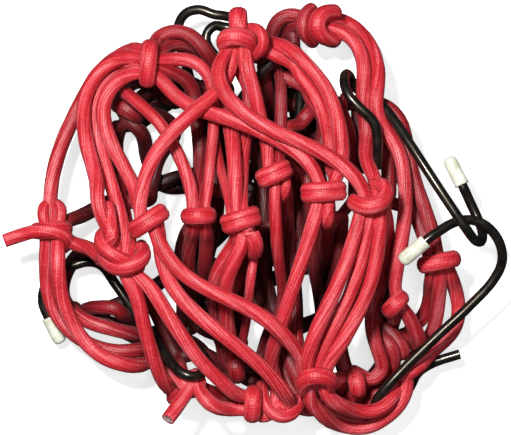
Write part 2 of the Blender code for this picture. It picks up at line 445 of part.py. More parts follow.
def ease_apart(lines, rows, blocks):
    """lines: one array of points per cord. blocks: (points, clearance, knot or None)."""
    counts = [len(line) for line in lines]
    cord = np.repeat(np.arange(len(lines)), counts)
    order = np.concatenate([np.arange(count) for count in counts])
    points = np.vstack(lines)
    layer = points[:, 2].copy()
    near_start = order * LINE_STEP
    near_end = (np.repeat(counts, counts) - 1 - order) * LINE_STEP
    free = np.clip((np.minimum(near_start, near_end) - LEAD) / LEAD, 0, 1)
    start_knot = np.array([row.start for row in rows])[cord]
    end_knot = np.array([row.end for row in rows])[cord]
    held_by = np.where(near_start < near_end, start_knot, end_knot)
    in_knot = np.minimum(near_start, near_end) < KNOT_ZONE
    block_points = np.vstack([block[0] for block in blocks])
    block_gap = np.concatenate([np.full(len(block[0]), block[1]) for block in blocks])
    block_knot = np.concatenate([np.full(len(block[0]), block[2] or "-", dtype=object) for block in blocks])
    for turn in range(EASING_PASSES):
        if turn % PAIRS_RENEWED == 0:
            pairs = near_pairs(points, cord, order, held_by, in_knot)
            fixed = near_blocks(points, block_points, block_knot, held_by, in_knot)
        push = np.zeros_like(points)
        one, two = pairs
        gap = points[one] - points[two]
        apart = np.linalg.norm(gap, axis=1)
        short = np.clip(CORD_GAP - apart, 0, None)
        above = np.where(layer[one] >= layer[two], 1.0, -1.0)
        way = push_direction(gap, above)
        np.add.at(push, one, way * (short * 0.5)[:, None])
        np.add.at(push, two, -way * (short * 0.5)[:, None])
        one, two = fixed
        gap = points[one] - block_points[two]
        apart = np.linalg.norm(gap, axis=1)
        short = np.clip(block_gap[two] - apart, 0, None)
        way = push_direction(gap, np.where(layer[one] >= block_points[two][:, 2], 1.0, -1.0))
        np.add.at(push, one, way * short[:, None])
        push = smooth_push(np.clip(push, -MOST_PUSH, MOST_PUSH), counts)
        points += push * free[:, None] * PUSH_SHARE
        points[:, 2] = np.maximum(points[:, 2], CORD_R - PRESSED)
    return np.split(points, np.cumsum(counts)[:-1])


def push_direction(gap, above):
    way = gap * SIDEWAYS_SHARE
    way[:, 2] = above * (np.abs(gap[:, 2]) + LIFT_BIAS)
    return way / np.linalg.norm(way, axis=1)[:, None]


def smooth_push(push, counts):
    """Each cord's pushes are spread to their neighbours along it."""
    smooth = []
    for part in np.split(push, np.cumsum(counts)[:-1]):
        for _ in range(2):
            padded = np.vstack([part[:1], part, part[-1:]])
            part = 0.25 * padded[:-2] + 0.5 * padded[1:-1] + 0.25 * padded[2:]
        smooth.append(part)
    return np.vstack(smooth)


def near_pairs(points, cord, order, held_by, in_knot):
    one, two = np.triu_indices(len(points), 1)
    close = np.linalg.norm(points[one] - points[two], axis=1) < NEAR_PAIR
    one, two = one[close], two[close]
    same = (cord[one] == cord[two]) & (np.abs(order[one] - order[two]) * LINE_STEP < SAME_CORD_APART)
    shared = in_knot[one] & in_knot[two] & (held_by[one] == held_by[two])
    keep = ~(same | shared)
    return one[keep], two[keep]


def near_blocks(points, block_points, block_knot, held_by, in_knot):
    apart = np.linalg.norm(points[:, None] - block_points[None], axis=2)
    one, two = np.nonzero(apart < NEAR_PAIR)
    own = in_knot[one] & (held_by[one] == block_knot[two])
    return one[~own], two[~own]


# ---------------------------------------------------------------------------
# Solids.

def stations(line, most_turn, wires=None):
    """The points of a line that a faceted tube needs: more where it bends or meets a wire."""
    turns = np.full(len(line), most_turn)
    if wires is not None:
        close = np.linalg.norm(line[:, None] - wires[None], axis=2).min(axis=1) < CLOSE_TO_WIRE
        turns[close] = TURN_AT_WIRE
    kept = [0]
    heading = unit(line[1] - line[0])
    for index in range(1, len(line) - 1):
        onward = unit(line[index + 1] - line[index - 1])
        turned = math.acos(min(1.0, float(np.dot(heading, onward))))
        run = np.linalg.norm(line[index] - line[kept[-1]])
        if turned > turns[index] or run > MOST_RUN:
            kept.append(index)
            heading = onward
    kept.append(len(line) - 1)
    return line[kept]


def new_curve(name, radius, resolution):
    curve = bpy.data.curves.new(name, "CURVE")
    curve.dimensions = "3D"
    curve.bevel_depth = radius
    curve.bevel_resolution = resolution
    curve.use_fill_caps = True
    return curve


def add_spline(curve, points, closed=False):
    spline = curve.splines.new("POLY")
    spline.points.add(len(points) - 1)
    for point, position in zip(spline.points, points):
        point.co = (*position, 1)
    spline.use_cyclic_u = closed


def curve_to_mesh(curve, name):
    """A closed mesh of a curve's tubes, with their caps welded on."""
    holder = bpy.data.objects.new(name + "_curve", curve)
    bpy.context.scene.collection.objects.link(holder)
    bpy.context.view_layer.update()
    evaluated = holder.evaluated_get(bpy.context.evaluated_depsgraph_get())
    mesh = bpy.data.meshes.new_from_object(evaluated)
    bpy.data.objects.remove(holder)
    shaped = bmesh.new()
    shaped.from_mesh(mesh)
    bmesh.ops.remove_doubles(shaped, verts=shaped.verts, dist=WELD)
    bmesh.ops.recalc_face_normals(shaped, faces=shaped.faces)
    shaped.to_mesh(mesh)
    shaped.free()
    mesh.name = name
    return mesh


def core_mesh(name):
    """The cord inside a knot that no view shows, as one rounded lump."""
    along_band, along_cords = knot_axes(name)
    half = KNOTS[name].reach * MM - CORD_R
    frame = Matrix((
        (*(along_band * half), 0),
        (*(along_cords * CORE_HALF_LENGTH), 0),
        (0, 0, CORE_HALF_HEIGHT, 0),
        (0, 0, 0, 1),
    )).transposed()
    frame.translation = Vector(knot_centre(name))
    mesh = bpy.data.meshes.new(name + "_core")
    shaped = bmesh.new()
    bmesh.ops.create_uvsphere(shaped, u_segments=6, v_segments=4, radius=1, matrix=frame)
    shaped.to_mesh(mesh)
    shaped.free()
    return mesh


def cord_meshes(lines, wires):
    """One closed mesh for each cord, wrap and core, still passing through the others."""
    tubes = [(stations(line, MOST_TURN, wires), False) for line in lines]
    tubes += [(stations(loop_line(row), WRAP_TURN), False) for row in LOOPS.values()]
    banded = {row.knot for name, row in LOOPS.items() if name.endswith("_band")}
    tubes += [(ring_line(name), True) for name in KNOTS if name not in banded]
    for points, closed in tubes:
        curve = new_curve("cord", CORD_R, TUBE_RESOLUTION)
        add_spline(curve, points, closed)
        yield curve_to_mesh(curve, "cord")
    for name in KNOTS:
        yield core_mesh(name)


def add_object(name, data, colour, roughness, metallic):
    piece = bpy.data.objects.new(name, data)
    finish = bpy.data.materials.new(name + "_finish")
    finish.use_nodes = True
    shader = finish.node_tree.nodes["Principled BSDF"]
    shader.inputs["Base Color"].default_value = colour
    shader.inputs["Roughness"].default_value = roughness
    shader.inputs["Metallic"].default_value = metallic
    data.materials.append(finish)
    bpy.data.collections["cargo_net"].objects.link(piece)
    return piece


def keep_as_tool(tool, collection):
    """A solid that only joins or cuts another one."""
    bpy.data.collections[collection].objects.link(tool)
    tool.hide_render = True
    tool.display_type = "WIRE"


def add_floor_cutter():
    """All that would lie under the floor, which presses the lowest cords flat."""
    mesh = bpy.data.meshes.new("floor_cutter")
    shaped = bmesh.new()
    size = Matrix.Diagonal((FLOOR_WIDTH, FLOOR_WIDTH, FLOOR_DEPTH, 1))
    bmesh.ops.create_cube(shaped, size=1, matrix=Matrix.Translation((0, 0, -FLOOR_DEPTH / 2)) @ size)
    shaped.to_mesh(mesh)
    shaped.free()
    cutter = bpy.data.objects.new("floor_cutter", mesh)
    keep_as_tool(cutter, "cutters")
    return cutter


def add_net(lines, wires):
    """One cord, joined with all the others and pressed flat on the floor."""
    first, *others = cord_meshes(lines, wires)
    net = add_object("net", first, NET_RED, 0.6, 0.0)
    for number, mesh in enumerate(others):
        keep_as_tool(bpy.data.objects.new(f"joined_{number}", mesh), "joined_cords")
    join = net.modifiers.new("joined", "BOOLEAN")
    join.operation = "UNION"
    join.solver = SOLVER
    join.operand_type = "COLLECTION"
    join.collection = bpy.data.collections["joined_cords"]
    press = net.modifiers.new("press_flat", "BOOLEAN")
    press.operation = "DIFFERENCE"
    press.solver = SOLVER
    press.object = add_floor_cutter()
    lighter = net.modifiers.new("lighter", "DECIMATE")
    lighter.decimate_type = "DISSOLVE"
    lighter.angle_limit = NEARLY_FLAT
    return net


def add_wire(name, closed_end, open_end, line):
    """The wire starts deep in the bore of its sleeve, on the sleeve's axis."""
    inwards = closed_end - open_end
    depth = np.linalg.norm(inwards) - SLEEVE_END - FIT_GAP
    wire = new_curve(name, WIRE_R, 2)
    add_spline(wire, [open_end + unit(inwards) * depth, *stations(line, WIRE_TURN)])
    return add_object(name, wire, WIRE_BLACK, 0.25, 0.3)


def add_sleeve(name, closed_end, open_end):
    """A turned cap: its bore takes the wire, and its far end is rounded."""
    length = np.linalg.norm(open_end - closed_end)
    profile = [(share * SLEEVE_R, length - depth) for share, depth in SLEEVE_TIP]
    profile += [(SLEEVE_R, SLEEVE_MOUTH), (SLEEVE_R - SLEEVE_MOUTH, 0), (SLEEVE_BORE_R, 0),
        (SLEEVE_BORE_R, length - SLEEVE_END), (0, length - SLEEVE_END)]
    mesh = bpy.data.meshes.new(name)
    edges = [(index, index + 1) for index in range(len(profile) - 1)]
    mesh.from_pydata([(x, 0, z) for x, z in profile], edges, [])
    sleeve = add_object(name, mesh, SLEEVE_WHITE, 0.45, 0.0)
    turned = sleeve.modifiers.new("turned", "SCREW")
    turned.steps = SLEEVE_STEPS
    turned.render_steps = SLEEVE_STEPS
    turned.use_merge_vertices = True
    turned.merge_threshold = WELD
    axis = Vector(closed_end - open_end)
    sleeve.location = Vector(open_end)
    sleeve.rotation_mode = "QUATERNION"
    sleeve.rotation_quaternion = axis.to_track_quat("Z", "Y")
    return sleeve


def main():
    for old in list(bpy.data.objects):
        bpy.data.objects.remove(old, do_unlink=True)
    for name in ("cargo_net", "cutters", "joined_cords"):
        bpy.context.scene.collection.children.link(bpy.data.collections.new(name))

    blocks = []
    wires = []
    for name, bends in HOOKS.items():
        closed_end, open_end, line = hook_line(bends)
        add_wire(name, closed_end, open_end, line)
        add_sleeve(name.replace("hook", "sleeve"), closed_end, open_end)
        wires.append(line)
        blocks.append((line, WIRE_GAP, None))
        blocks.append((smooth_line([closed_end, open_end], LINE_STEP), SLEEVE_GAP, None))
    for row in LOOPS.values():
        blocks.append((loop_line(row), CORD_GAP, row.knot))
    for name in KNOTS:
        blocks.append((np.array(ring_line(name)), CORD_GAP, name))
        blocks.append((knot_centre(name)[None], CORD_GAP, name))

    rows = list(STRANDS.values())
    add_net(ease_apart([strand_line(row) for row in rows], rows, blocks), np.vstack(wires))


main()
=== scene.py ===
"""Cargo net of knotted elastic cord with six wire hooks, gathered into a loose bundle.

Metres, +Z up: the bundle lies on the floor, and the camera looks straight down on it.
Cords and wires follow the same places as the solids that they stand for.
"""

import math
from collections import namedtuple

import bmesh
import bpy
import numpy as np
from mathutils import Matrix, Vector


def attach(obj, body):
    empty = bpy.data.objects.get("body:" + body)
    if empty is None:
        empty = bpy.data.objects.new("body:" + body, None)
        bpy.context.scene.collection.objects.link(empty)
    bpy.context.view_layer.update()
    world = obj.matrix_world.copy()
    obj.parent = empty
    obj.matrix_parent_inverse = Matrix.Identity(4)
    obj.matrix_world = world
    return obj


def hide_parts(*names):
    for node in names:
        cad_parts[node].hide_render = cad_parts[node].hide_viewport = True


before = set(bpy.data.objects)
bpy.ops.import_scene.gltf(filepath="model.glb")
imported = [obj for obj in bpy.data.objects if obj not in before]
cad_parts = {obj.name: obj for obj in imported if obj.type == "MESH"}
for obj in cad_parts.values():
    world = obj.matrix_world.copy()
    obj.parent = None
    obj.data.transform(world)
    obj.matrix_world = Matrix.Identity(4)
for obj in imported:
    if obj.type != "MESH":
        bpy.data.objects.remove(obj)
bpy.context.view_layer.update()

MM = 0.001
TINY = 1e-12

# Cord, wire and caps, as in the solids.
CORD_R = 3 * MM
WIRE_R = 2 * MM
CAP_R = 2.9 * MM

# The layout sheet: places are given in its squares, x to the right and y down.
SQUARE = 0.4 * MM
SHEET_SIZE = (511, 435)
SHEET_CENTRE = (254, 218)

# The bundle's top surface is a dome over a circle of sheet squares.
DOME_CENTRE = (245, 218)
DOME_REACH = 222
RIM_HEIGHT = 15 * MM
CROWN_HEIGHT = 58 * MM

# Knots: cords side by side inside one lie a slot apart, and the wrap goes round them. A cord
# is led out of its knot, partly square to the wrap. The lowest cords are pressed a little flat.
SLOT_STEP = 4.8 * MM
WRAP_DEPTH = 4.8 * MM
WRAP_POINTS = 8
LEAD = 6.5 * MM
LEAD_SQUARENESS = 0.6
PRESSED = 0.8 * MM

# Cords are laid by their levels, as points one step apart, and then eased apart until their
# middles have these gaps.
LINE_STEP = 3 * MM
CURVE_STEPS = 12
CORD_GAP = 5.7 * MM
WIRE_GAP = CORD_R + WIRE_R + 0.1 * MM
CAP_GAP = CORD_R + CAP_R + 0.1 * MM

# Easing goes in passes. A pass pushes a point by a share of what it lacks, mostly up or down,
# and spreads the push along the cord. Which points are near each other is found anew every few
# passes. The zone is how far from a cord's end its points count as in its knot.
EASING_PASSES = 120
PAIRS_RENEWED = 16
PUSH_SHARE = 0.7
MOST_PUSH = 1.2 * MM
SIDEWAYS_SHARE = 0.35
LIFT_BIAS = 0.8 * MM
SPREADING = 6
SMOOTHING = 5
NEAR_PAIR = 15 * MM
SAME_CORD_APART = 16 * MM
KNOT_ZONE = 16 * MM

# The sheath: a round cord with fine ribs that go once round it in the turn length. The groove
# of a wrap that goes twice round reaches this far to each side, in radians.
FINE_STEP = 1.3 * MM
RING_STEP = 0.2 * MM
SHEATH_SIDES = 28
SHEATH_R = 2.95 * MM
RIBS = 14
RIB_DEPTH = 0.07 * MM
RIB_TURN_LENGTH = 0.16
GIRTH = 2 * math.pi * CORD_R
GROOVE_REACH = 0.30

# A cord is drawn in where a knot grips it and swells slightly along its length. No two cords
# are turned or swell alike. An end is rounded and reaches past the middle of its knot.
GRIP = 0.12
GRIP_LENGTH = 4 * MM
SWELL = 0.035
SWELL_LENGTH = 9 * MM
SWELL_SHIFT = 2.1
TURN_SHIFT = 1.7
PAST_MIDDLE = 3.6 * MM
END_LENGTH = 2.8 * MM
END_BLUNTNESS = 0.15

# A cut end: the rim of sheath round the core, and how deep the core lies.
CUT_RIM = 0.55 * MM
CUT_DEPTH = 0.25 * MM

# Wires, which end a little short of the top of their caps' bores.
WIRE_STEP = 1.5 * MM
WIRE_ROUNDNESS = 6
WIRE_LEAD = 2.5 * MM
CAP_END = 1.6 * MM
FIT_GAP = 0.35 * MM

# The caps' outline: shares of the radius, with mm down from the tip and then mm up from the
# mouth. The bore's radii are shares of the wire's.
CAP_TURNS = 32
CAP_TIP = [(0.0, 0.0), (0.30, 0.06), (0.58, 0.28), (0.80, 0.75), (0.92, 1.45), (0.975, 2.4), (1.0, 3.6)]
CAP_LIP = [(1.0, 1.1), (1.03, 0.8), (1.03, 0.25), (0.96, 0.0)]
CAP_BORE = [(1.12, 0.0), (1.08, 1.5)]
MERGE_REACH = 0.001 * MM

# Shade between the cords: up to the deep level, as a share of the dome's height, little of a
# sheath's colour is left, and from the lit level on all of it. More is left towards the rim,
# which begins and ends where 1 - (distance from the centre / reach) ** 2 has these values.
DEEP_LEVEL = 0.26
LIT_LEVEL = 0.95
DEEP_COLOUR = 0.07
RIM_COLOUR = 0.65
RIM_OUTSIDE = 0.05
RIM_INSIDE = 0.42
# The share of colour left on the cords and loops that are listed for painted shade under the tables.
SHADED_COLOUR = 0.66

# The sheath's pattern: how often its pulled threads repeat around and along the cord, and how
# steeply the weave crosses the ribs.
THREAD_SCALE = (15.0, 0.30, 1.0)
CROSSING = 0.8

# Camera and light. The floor and the room glow, and four lamps stand round the bundle.
CAMERA_HEIGHT = 3.0
FOCUS_HEIGHT = 30 * MM
SENSOR_WIDTH = 36
FAR_CLIP = 20
FLOOR_SIZE = 12
FLOOR_GLOW = 0.70
ROOM_GLOW = 0.04
SIDE_DISTANCE = 1.3
SIDE_HEIGHT = 0.42
SIDE_SIZE = 0.6
SIDE_POWER = 1.4
SIDE_TURNS = (20, 110, 200, 290)

# ---------------------------------------------------------------------------
# Tables. gx and gy are sheet squares; level is in hundredths of the way from the lowest cords
# up to the dome.

Knot = namedtuple("Knot", "gx gy level turn reach")
Strand = namedtuple("Strand", "start start_slot vias end end_slot")
Loop = namedtuple("Loop", "knot points")
Lamp = namedtuple("Lamp", "place size power colour glints")

# turn: the wrap's direction, in degrees from +X; reach: half the wrap's outer length, in mm.
KNOTS = {
    "shoulder": Knot(149, 64, 100, 86, 10.2),
    "crown": Knot(240, 42, 102, 15, 9.0),
    "brow": Knot(318, 27, 80, 84, 8.0),
    "west": Knot(51, 230, 78, 4, 9.0),
    "cheek": Knot(121, 258, 98, -25, 9.0),
    "left": Knot(149, 221, 100, 33, 9.6),
    "small": Knot(199, 216, 84, 2, 7.6),
    "heart": Knot(241, 220, 96, 17, 8.9),
    "upper": Knot(274, 174, 84, 24, 8.2),
    "middle": Knot(323, 192, 97, 4, 9.9),
    "right": Knot(370, 203, 102, 4, 9.8),
    "east": Knot(439, 262, 80, 12, 9.4),
    "lower_east": Knot(395, 304, 72, 46, 6.8),
    "hem": Knot(316, 378, 102, 10, 9.2),
    "tuck": Knot(357, 384, 62, 98, 6.2),
    "foot": Knot(281, 406, 86, -10, 7.6),
    "toe": Knot(253, 404, 84, 86, 8.0),
    "heel": Knot(190, 380, 80, 30, 7.4),
    "back_left": Knot(128, 110, 36, 150, 8.0),
    "back_top": Knot(217, 91, 28, 14, 7.4),
    "back_middle": Knot(258, 200, 5, 70, 8.0),
    "back_right": Knot(318, 112, 8, 40, 8.0),
    "back_east": Knot(398, 340, 8, 20, 8.0),
    "back_west": Knot(70, 317, 12, 70, 6.6),
    "back_low": Knot(176, 336, 10, 110, 8.0),
    "back_foot": Knot(236, 368, 40, 100, 7.0),
}

# One row for each cord between two knots: the knot and slot at each end, and between them its
# own points as (gx, gy, level).
STRANDS = {
    # round the left side
    "left_arc_outer": Strand("shoulder", 0.5, [(124, 57, 95), (102, 68, 95), (87, 91, 97), (83, 118, 98),
        (88, 148, 98), (99, 182, 100), (108, 212, 102), (112, 232, 102)], "cheek", -0.2),
    "left_arc_under": Strand("shoulder", 0.0, [(124, 64, 72), (106, 78, 74), (96, 100, 76), (96, 128, 76),
        (103, 156, 76), (112, 186, 80), (121, 214, 84)], "cheek", 0.3),
    "left_arc_inner": Strand("shoulder", -0.7, [(124, 76, 90), (109, 89, 88), (102, 108, 85),
        (105, 130, 80), (114, 150, 76), (126, 170, 76), (137, 192, 80)], "left", -0.3),
    "far_left": Strand("shoulder", 1.1, [(130, 50, 72), (106, 63, 60), (90, 83, 57), (80, 102, 57),
        (71, 121, 58), (62, 141, 60), (55, 163, 64), (51, 182, 68)], "west", -0.1),
    # from the shoulder to the right
    "top_rear": Strand("shoulder", 0.8, [(152, 42, 76), (163, 33, 76), (178, 29, 72), (194, 36, 64),
        (207, 51, 50), (213, 70, 40)], "back_top", -0.5),
    "top_rear_low": Strand("shoulder", 0.5, [(166, 45, 58), (180, 40, 50), (195, 46, 40), (206, 60, 26)],
        "back_top", 0.5),
    "shoulder_drop": Strand("shoulder", 0.2, [(174, 59, 80), (193, 60, 84), (207, 70, 80), (214, 92, 74),
        (214, 124, 72), (211, 160, 76), (208, 194, 82)], "small", 0.6),
    "long_second": Strand("shoulder", -0.6, [(166, 87, 82), (184, 103, 84), (206, 112, 88), (233, 120, 93),
        (262, 132, 96), (288, 146, 98), (308, 161, 100)], "middle", -0.1),
    "shoulder_back": Strand("shoulder", -0.2, [(174, 73, 72), (190, 81, 56), (198, 108, 42),
        (200, 150, 44), (200, 188, 64)], "small", 0.1),
    "slanted": Strand("back_left", 0.5, [(122, 90, 62), (143, 107, 76), (162, 125, 78), (176, 149, 75),
        (187, 174, 77), (194, 198, 82)], "small", -0.5),
    # from the crown
    "crown_left": Strand("crown", -0.5, [(231, 70, 84), (221, 89, 86), (204, 105, 93), (184, 122, 98),
        (163, 144, 100), (148, 170, 100), (142, 196, 100)], "left", -0.6),
    "long_front": Strand("crown", -0.9, [(219, 60, 102), (218, 80, 104), (229, 101, 105), (251, 119, 106),
        (276, 133, 106), (302, 144, 106), (326, 155, 106), (347, 169, 106), (362, 186, 106)],
        "right", -0.3),
    "crown_middle": Strand("crown", 0.2, [(247, 62, 98), (252, 82, 92), (257, 104, 84), (263, 130, 76),
        (269, 152, 78)], "upper", -0.4),
    "crown_under": Strand("crown", 0.4, [(251, 72, 70), (251, 96, 62), (247, 122, 62), (243, 150, 72),
        (241, 176, 78), (241, 198, 86)], "heart", 0.3),
    "crown_right": Strand("crown", 0.6, [(266, 50, 74), (276, 52, 84), (290, 57, 98), (308, 68, 102),
        (326, 88, 100), (336, 113, 96), (341, 140, 92), (342, 166, 92)], "middle", 0.7),
    "crown_down": Strand("crown", 0.2, [(258, 58, 44), (272, 63, 42), (280, 76, 54), (281, 100, 62),
        (281, 124, 62), (281, 150, 66)], "upper", 0.5),
    "heart_left": Strand("crown", -0.4, [(225, 76, 60), (223, 96, 58), (228, 118, 62), (233, 142, 82),
        (235, 170, 90), (236, 198, 94)], "heart", -0.3),
    "heart_thin": Strand("back_top", 0.3, [(213, 114, 40), (214, 134, 60), (218, 158, 68), (224, 182, 76),
        (231, 203, 84)], "heart", -0.8),
    # round the top right
    "brow_outer": Strand("brow", 0.7, [(343, 19, 80), (361, 31, 80), (375, 53, 80), (379, 78, 80),
        (375, 102, 76), (386, 127, 72), (400, 153, 74), (405, 182, 76), (405, 214, 76), (400, 247, 74),
        (395, 275, 72)], "lower_east", 0.4),
    "brow_inner": Strand("brow", 0.0, [(344, 30, 84), (359, 46, 84), (365, 68, 80), (365, 96, 68),
        (367, 126, 60), (369, 152, 68), (378, 174, 86)], "right", 0.3),
    "brow_left": Strand("brow", 0.5, [(300, 15, 70), (284, 13, 62), (274, 24, 50), (271, 45, 36),
        (273, 70, 26), (282, 96, 20)], "back_right", -0.6),
    "brow_back": Strand("brow", -0.2, [(302, 27, 58), (290, 27, 50), (284, 40, 36), (288, 62, 26),
        (300, 90, 20)], "back_right", 0.3),
    "east_outer": Strand("back_right", 0.7, [(345, 100, 30), (368, 99, 45), (388, 106, 58), (402, 121, 66),
        (406, 144, 64), (412, 173, 64), (423, 205, 66), (434, 237, 72)], "east", 0.0),
    "east_inner": Strand("back_right", 0.2, [(345, 132, 25), (372, 148, 30), (394, 165, 42),
        (407, 190, 52), (417, 216, 56), (427, 242, 64)], "east", -0.7),
    # from the middle knots downwards
    "middle_left": Strand("middle", -0.4, [(315, 216, 98), (307, 243, 95), (298, 271, 92), (289, 299, 88),
        (280, 327, 82), (272, 353, 66), (268, 378, 60)], "foot", -0.4),
    "middle_right": Strand("middle", 0.4, [(328, 213, 80), (328, 228, 58), (326, 252, 34), (326, 285, 20),
        (329, 320, 20), (341, 352, 36)], "tuck", 0.3),
    "upper_left": Strand("upper", 0.0, [(274, 196, 84), (276, 222, 82), (277, 248, 72), (281, 275, 56),
        (284, 305, 42), (277, 336, 34), (266, 358, 30), (254, 368, 34)], "back_foot", 0.7),
    "upper_right": Strand("upper", 0.6, [(285, 194, 66), (287, 214, 46), (290, 238, 34), (291, 264, 32),
        (292, 292, 34), (294, 322, 42), (298, 350, 66)], "hem", -0.9),
    "small_left": Strand("small", -0.4, [(192, 236, 56), (188, 258, 40), (190, 282, 30), (196, 305, 24),
        (193, 328, 16)], "back_low", 0.5),
    "small_right": Strand("small", 0.4, [(207, 236, 60), (206, 258, 44), (202, 280, 30), (194, 300, 14),
        (184, 318, 10)], "back_low", -0.3),
    "heart_down": Strand("heart", 0.0, [(245, 242, 95), (236, 256, 94), (228, 276, 88), (225, 302, 74),
        (228, 327, 62), (231, 348, 50)], "back_foot", 0.0),
    "heart_down_left": Strand("heart", -0.6, [(237, 241, 78), (226, 255, 78), (217, 273, 72),
        (214, 300, 56), (222, 336, 40)], "back_foot", -0.6),
    "heart_curl": Strand("heart", 0.6, [(255, 246, 80), (252, 268, 84), (249, 296, 72), (246, 326, 54),
        (241, 350, 44)], "back_foot", 0.4),
    "left_front": Strand("left", 0.2, [(158, 240, 102), (168, 257, 103), (185, 275, 105), (208, 289, 106),
        (235, 301, 106), (260, 314, 106), (280, 330, 106), (293, 345, 100), (302, 358, 90)], "hem", -0.6),
    "left_second": Strand("left", 0.8, [(157, 246, 90), (163, 268, 93), (175, 290, 97), (194, 311, 100),
        (219, 331, 103), (243, 350, 105), (264, 368, 106), (280, 386, 106), (289, 398, 102)], "foot", 0.6),
    "cheek_front": Strand("cheek", 0.7, [(146, 279, 98), (160, 301, 100), (178, 329, 100), (197, 356, 100),
        (216, 376, 100), (235, 391, 98)], "toe", 0.5),
    "cheek_down": Strand("cheek", 0.1, [(136, 288, 98), (142, 315, 98), (150, 345, 96), (159, 372, 90),
        (170, 389, 70), (181, 391, 44)], "heel", 0.6),
    "cheek_behind": Strand("cheek", 0.4, [(143, 290, 50), (155, 312, 34), (166, 336, 26), (178, 358, 26)],
        "heel", -0.2),
    # round the bottom left
    "west_inner": Strand("west", -0.5, [(46, 257, 76), (46, 284, 70), (54, 311, 60), (68, 331, 58),
        (88, 345, 60), (111, 352, 60), (137, 353, 50)], "back_low", -0.6),
    "west_outer": Strand("west", 0.5, [(58, 260, 90), (60, 290, 88), (69, 318, 82), (84, 342, 80),
        (103, 358, 78), (124, 365, 74), (144, 364, 48)], "back_low", 0.2),
    "west_cheek": Strand("west", 0.7, [(76, 246, 62), (94, 250, 70)], "cheek", -1.1),
    "west_back": Strand("west", 1.1, [(74, 220, 40), (93, 209, 24), (120, 197, 12), (151, 186, 6),
        (183, 176, 4), (220, 176, 2)], "back_middle", 0.7),
    "cheek_round": Strand("cheek", -0.8, [(92, 250, 50), (74, 259, 10), (61, 277, 8), (62, 300, 20),
        (77, 317, 56), (98, 326, 64), (120, 331, 56), (142, 336, 34)], "back_low", 0.7),
    "west_floor": Strand("back_west", -0.3, [(86, 319, 30), (104, 313, 42), (119, 305, 50), (127, 316, 40),
        (136, 342, 14), (158, 366, 30)], "heel", -0.6),
    "cheek_up": Strand("back_left", -0.4, [(112, 130, 34), (111, 160, 32), (116, 190, 42), (125, 216, 62)],
        "cheek", 0.7),
    # round the bottom
    "toe_left": Strand("heel", 0.3, [(203, 394, 76), (218, 405, 80), (236, 410, 82)], "toe", -0.5),
    "toe_foot": Strand("toe", 0.1, [(267, 404, 82)], "foot", 0.2),
    "foot_tuck": Strand("foot", -0.2, [(302, 409, 60), (320, 404, 44), (340, 398, 44)], "tuck", -0.5),
    "hem_tuck": Strand("hem", 0.9, [(341, 376, 50)], "tuck", 0.5),
    "hem_left": Strand("right", -0.8, [(356, 228, 100), (349, 252, 102), (339, 279, 104), (327, 306, 104),
        (315, 332, 104), (308, 353, 104)], "hem", -0.7),
    "hem_middle": Strand("right", 0.0, [(367, 230, 98), (362, 256, 97), (354, 282, 96), (343, 308, 96),
        (331, 334, 96), (321, 355, 98)], "hem", 0.0),
    "hem_right": Strand("right", 0.8, [(379, 229, 100), (376, 254, 100), (371, 281, 100), (360, 308, 100),
        (345, 334, 100), (332, 355, 100)], "hem", 0.7),
    "right_back": Strand("right", 1.1, [(387, 226, 70), (388, 254, 56), (380, 286, 46), (371, 314, 50),
        (373, 332, 54), (381, 350, 56), (388, 364, 50), (385, 379, 46), (373, 389, 44)], "tuck", 0.9),
    "arc_outer": Strand("hem", -0.5, [(307, 398, 100), (320, 411, 100), (344, 420, 100), (372, 421, 100),
        (390, 411, 100), (402, 398, 90), (405, 388, 84), (400, 378, 84), (404, 367, 80), (416, 358, 72),
        (432, 351, 58), (449, 341, 62), (459, 326, 68), (461, 308, 70), (455, 285, 74)], "east", 0.6),
    "arc_inner": Strand("hem", 0.4, [(324, 394, 110), (339, 405, 120), (361, 410, 140), (380, 406, 150),
        (392, 396, 110), (398, 380, 24), (413, 359, 10), (430, 338, 24), (437, 314, 46), (440, 288, 60)],
        "east", 0.0),
    "east_back": Strand("east", -0.7, [(431, 284, 46), (431, 308, 26), (422, 327, 20)], "back_east", 0.8),
    "lower_east_out": Strand("lower_east", 0.3, [(408, 316, 66), (417, 333, 60), (417, 352, 40)],
        "back_east", 0.4),
    "lower_east_in": Strand("lower_east", -0.5, [(389, 322, 50)], "back_east", -0.3),
    # along the floor
    "floor_top_left": Strand("back_top", -0.9, [(190, 94, 14), (160, 92, 14)], "back_left", -0.4),
    "floor_left": Strand("back_left", 0.9, [(146, 130, 30), (147, 150, 12), (150, 170, 4), (160, 188, 0),
        (190, 184, 0), (226, 190, 0)], "back_middle", 0.2),
    "floor_right": Strand("back_right", 0.0, [(322, 140, 0), (310, 170, 0), (286, 190, 0)],
        "back_middle", -0.3),
    "floor_east": Strand("back_middle", -0.8, [(300, 222, 0), (345, 250, 0), (375, 288, 0), (386, 318, 2)],
        "back_east", -0.8),
    "floor_west": Strand("back_middle", 0.4, [(222, 234, 0), (186, 262, 0), (150, 290, 0), (116, 306, 2)],
        "back_west", 0.3),
    "floor_foot": Strand("back_low", -0.2, [(200, 352, 0), (222, 372, 10)], "back_foot", -0.7),
    "floor_hem": Strand("back_foot", 0.6, [(262, 384, 16), (300, 392, 2), (345, 394, 0), (380, 378, 2)],
        "back_east", -0.2),
}

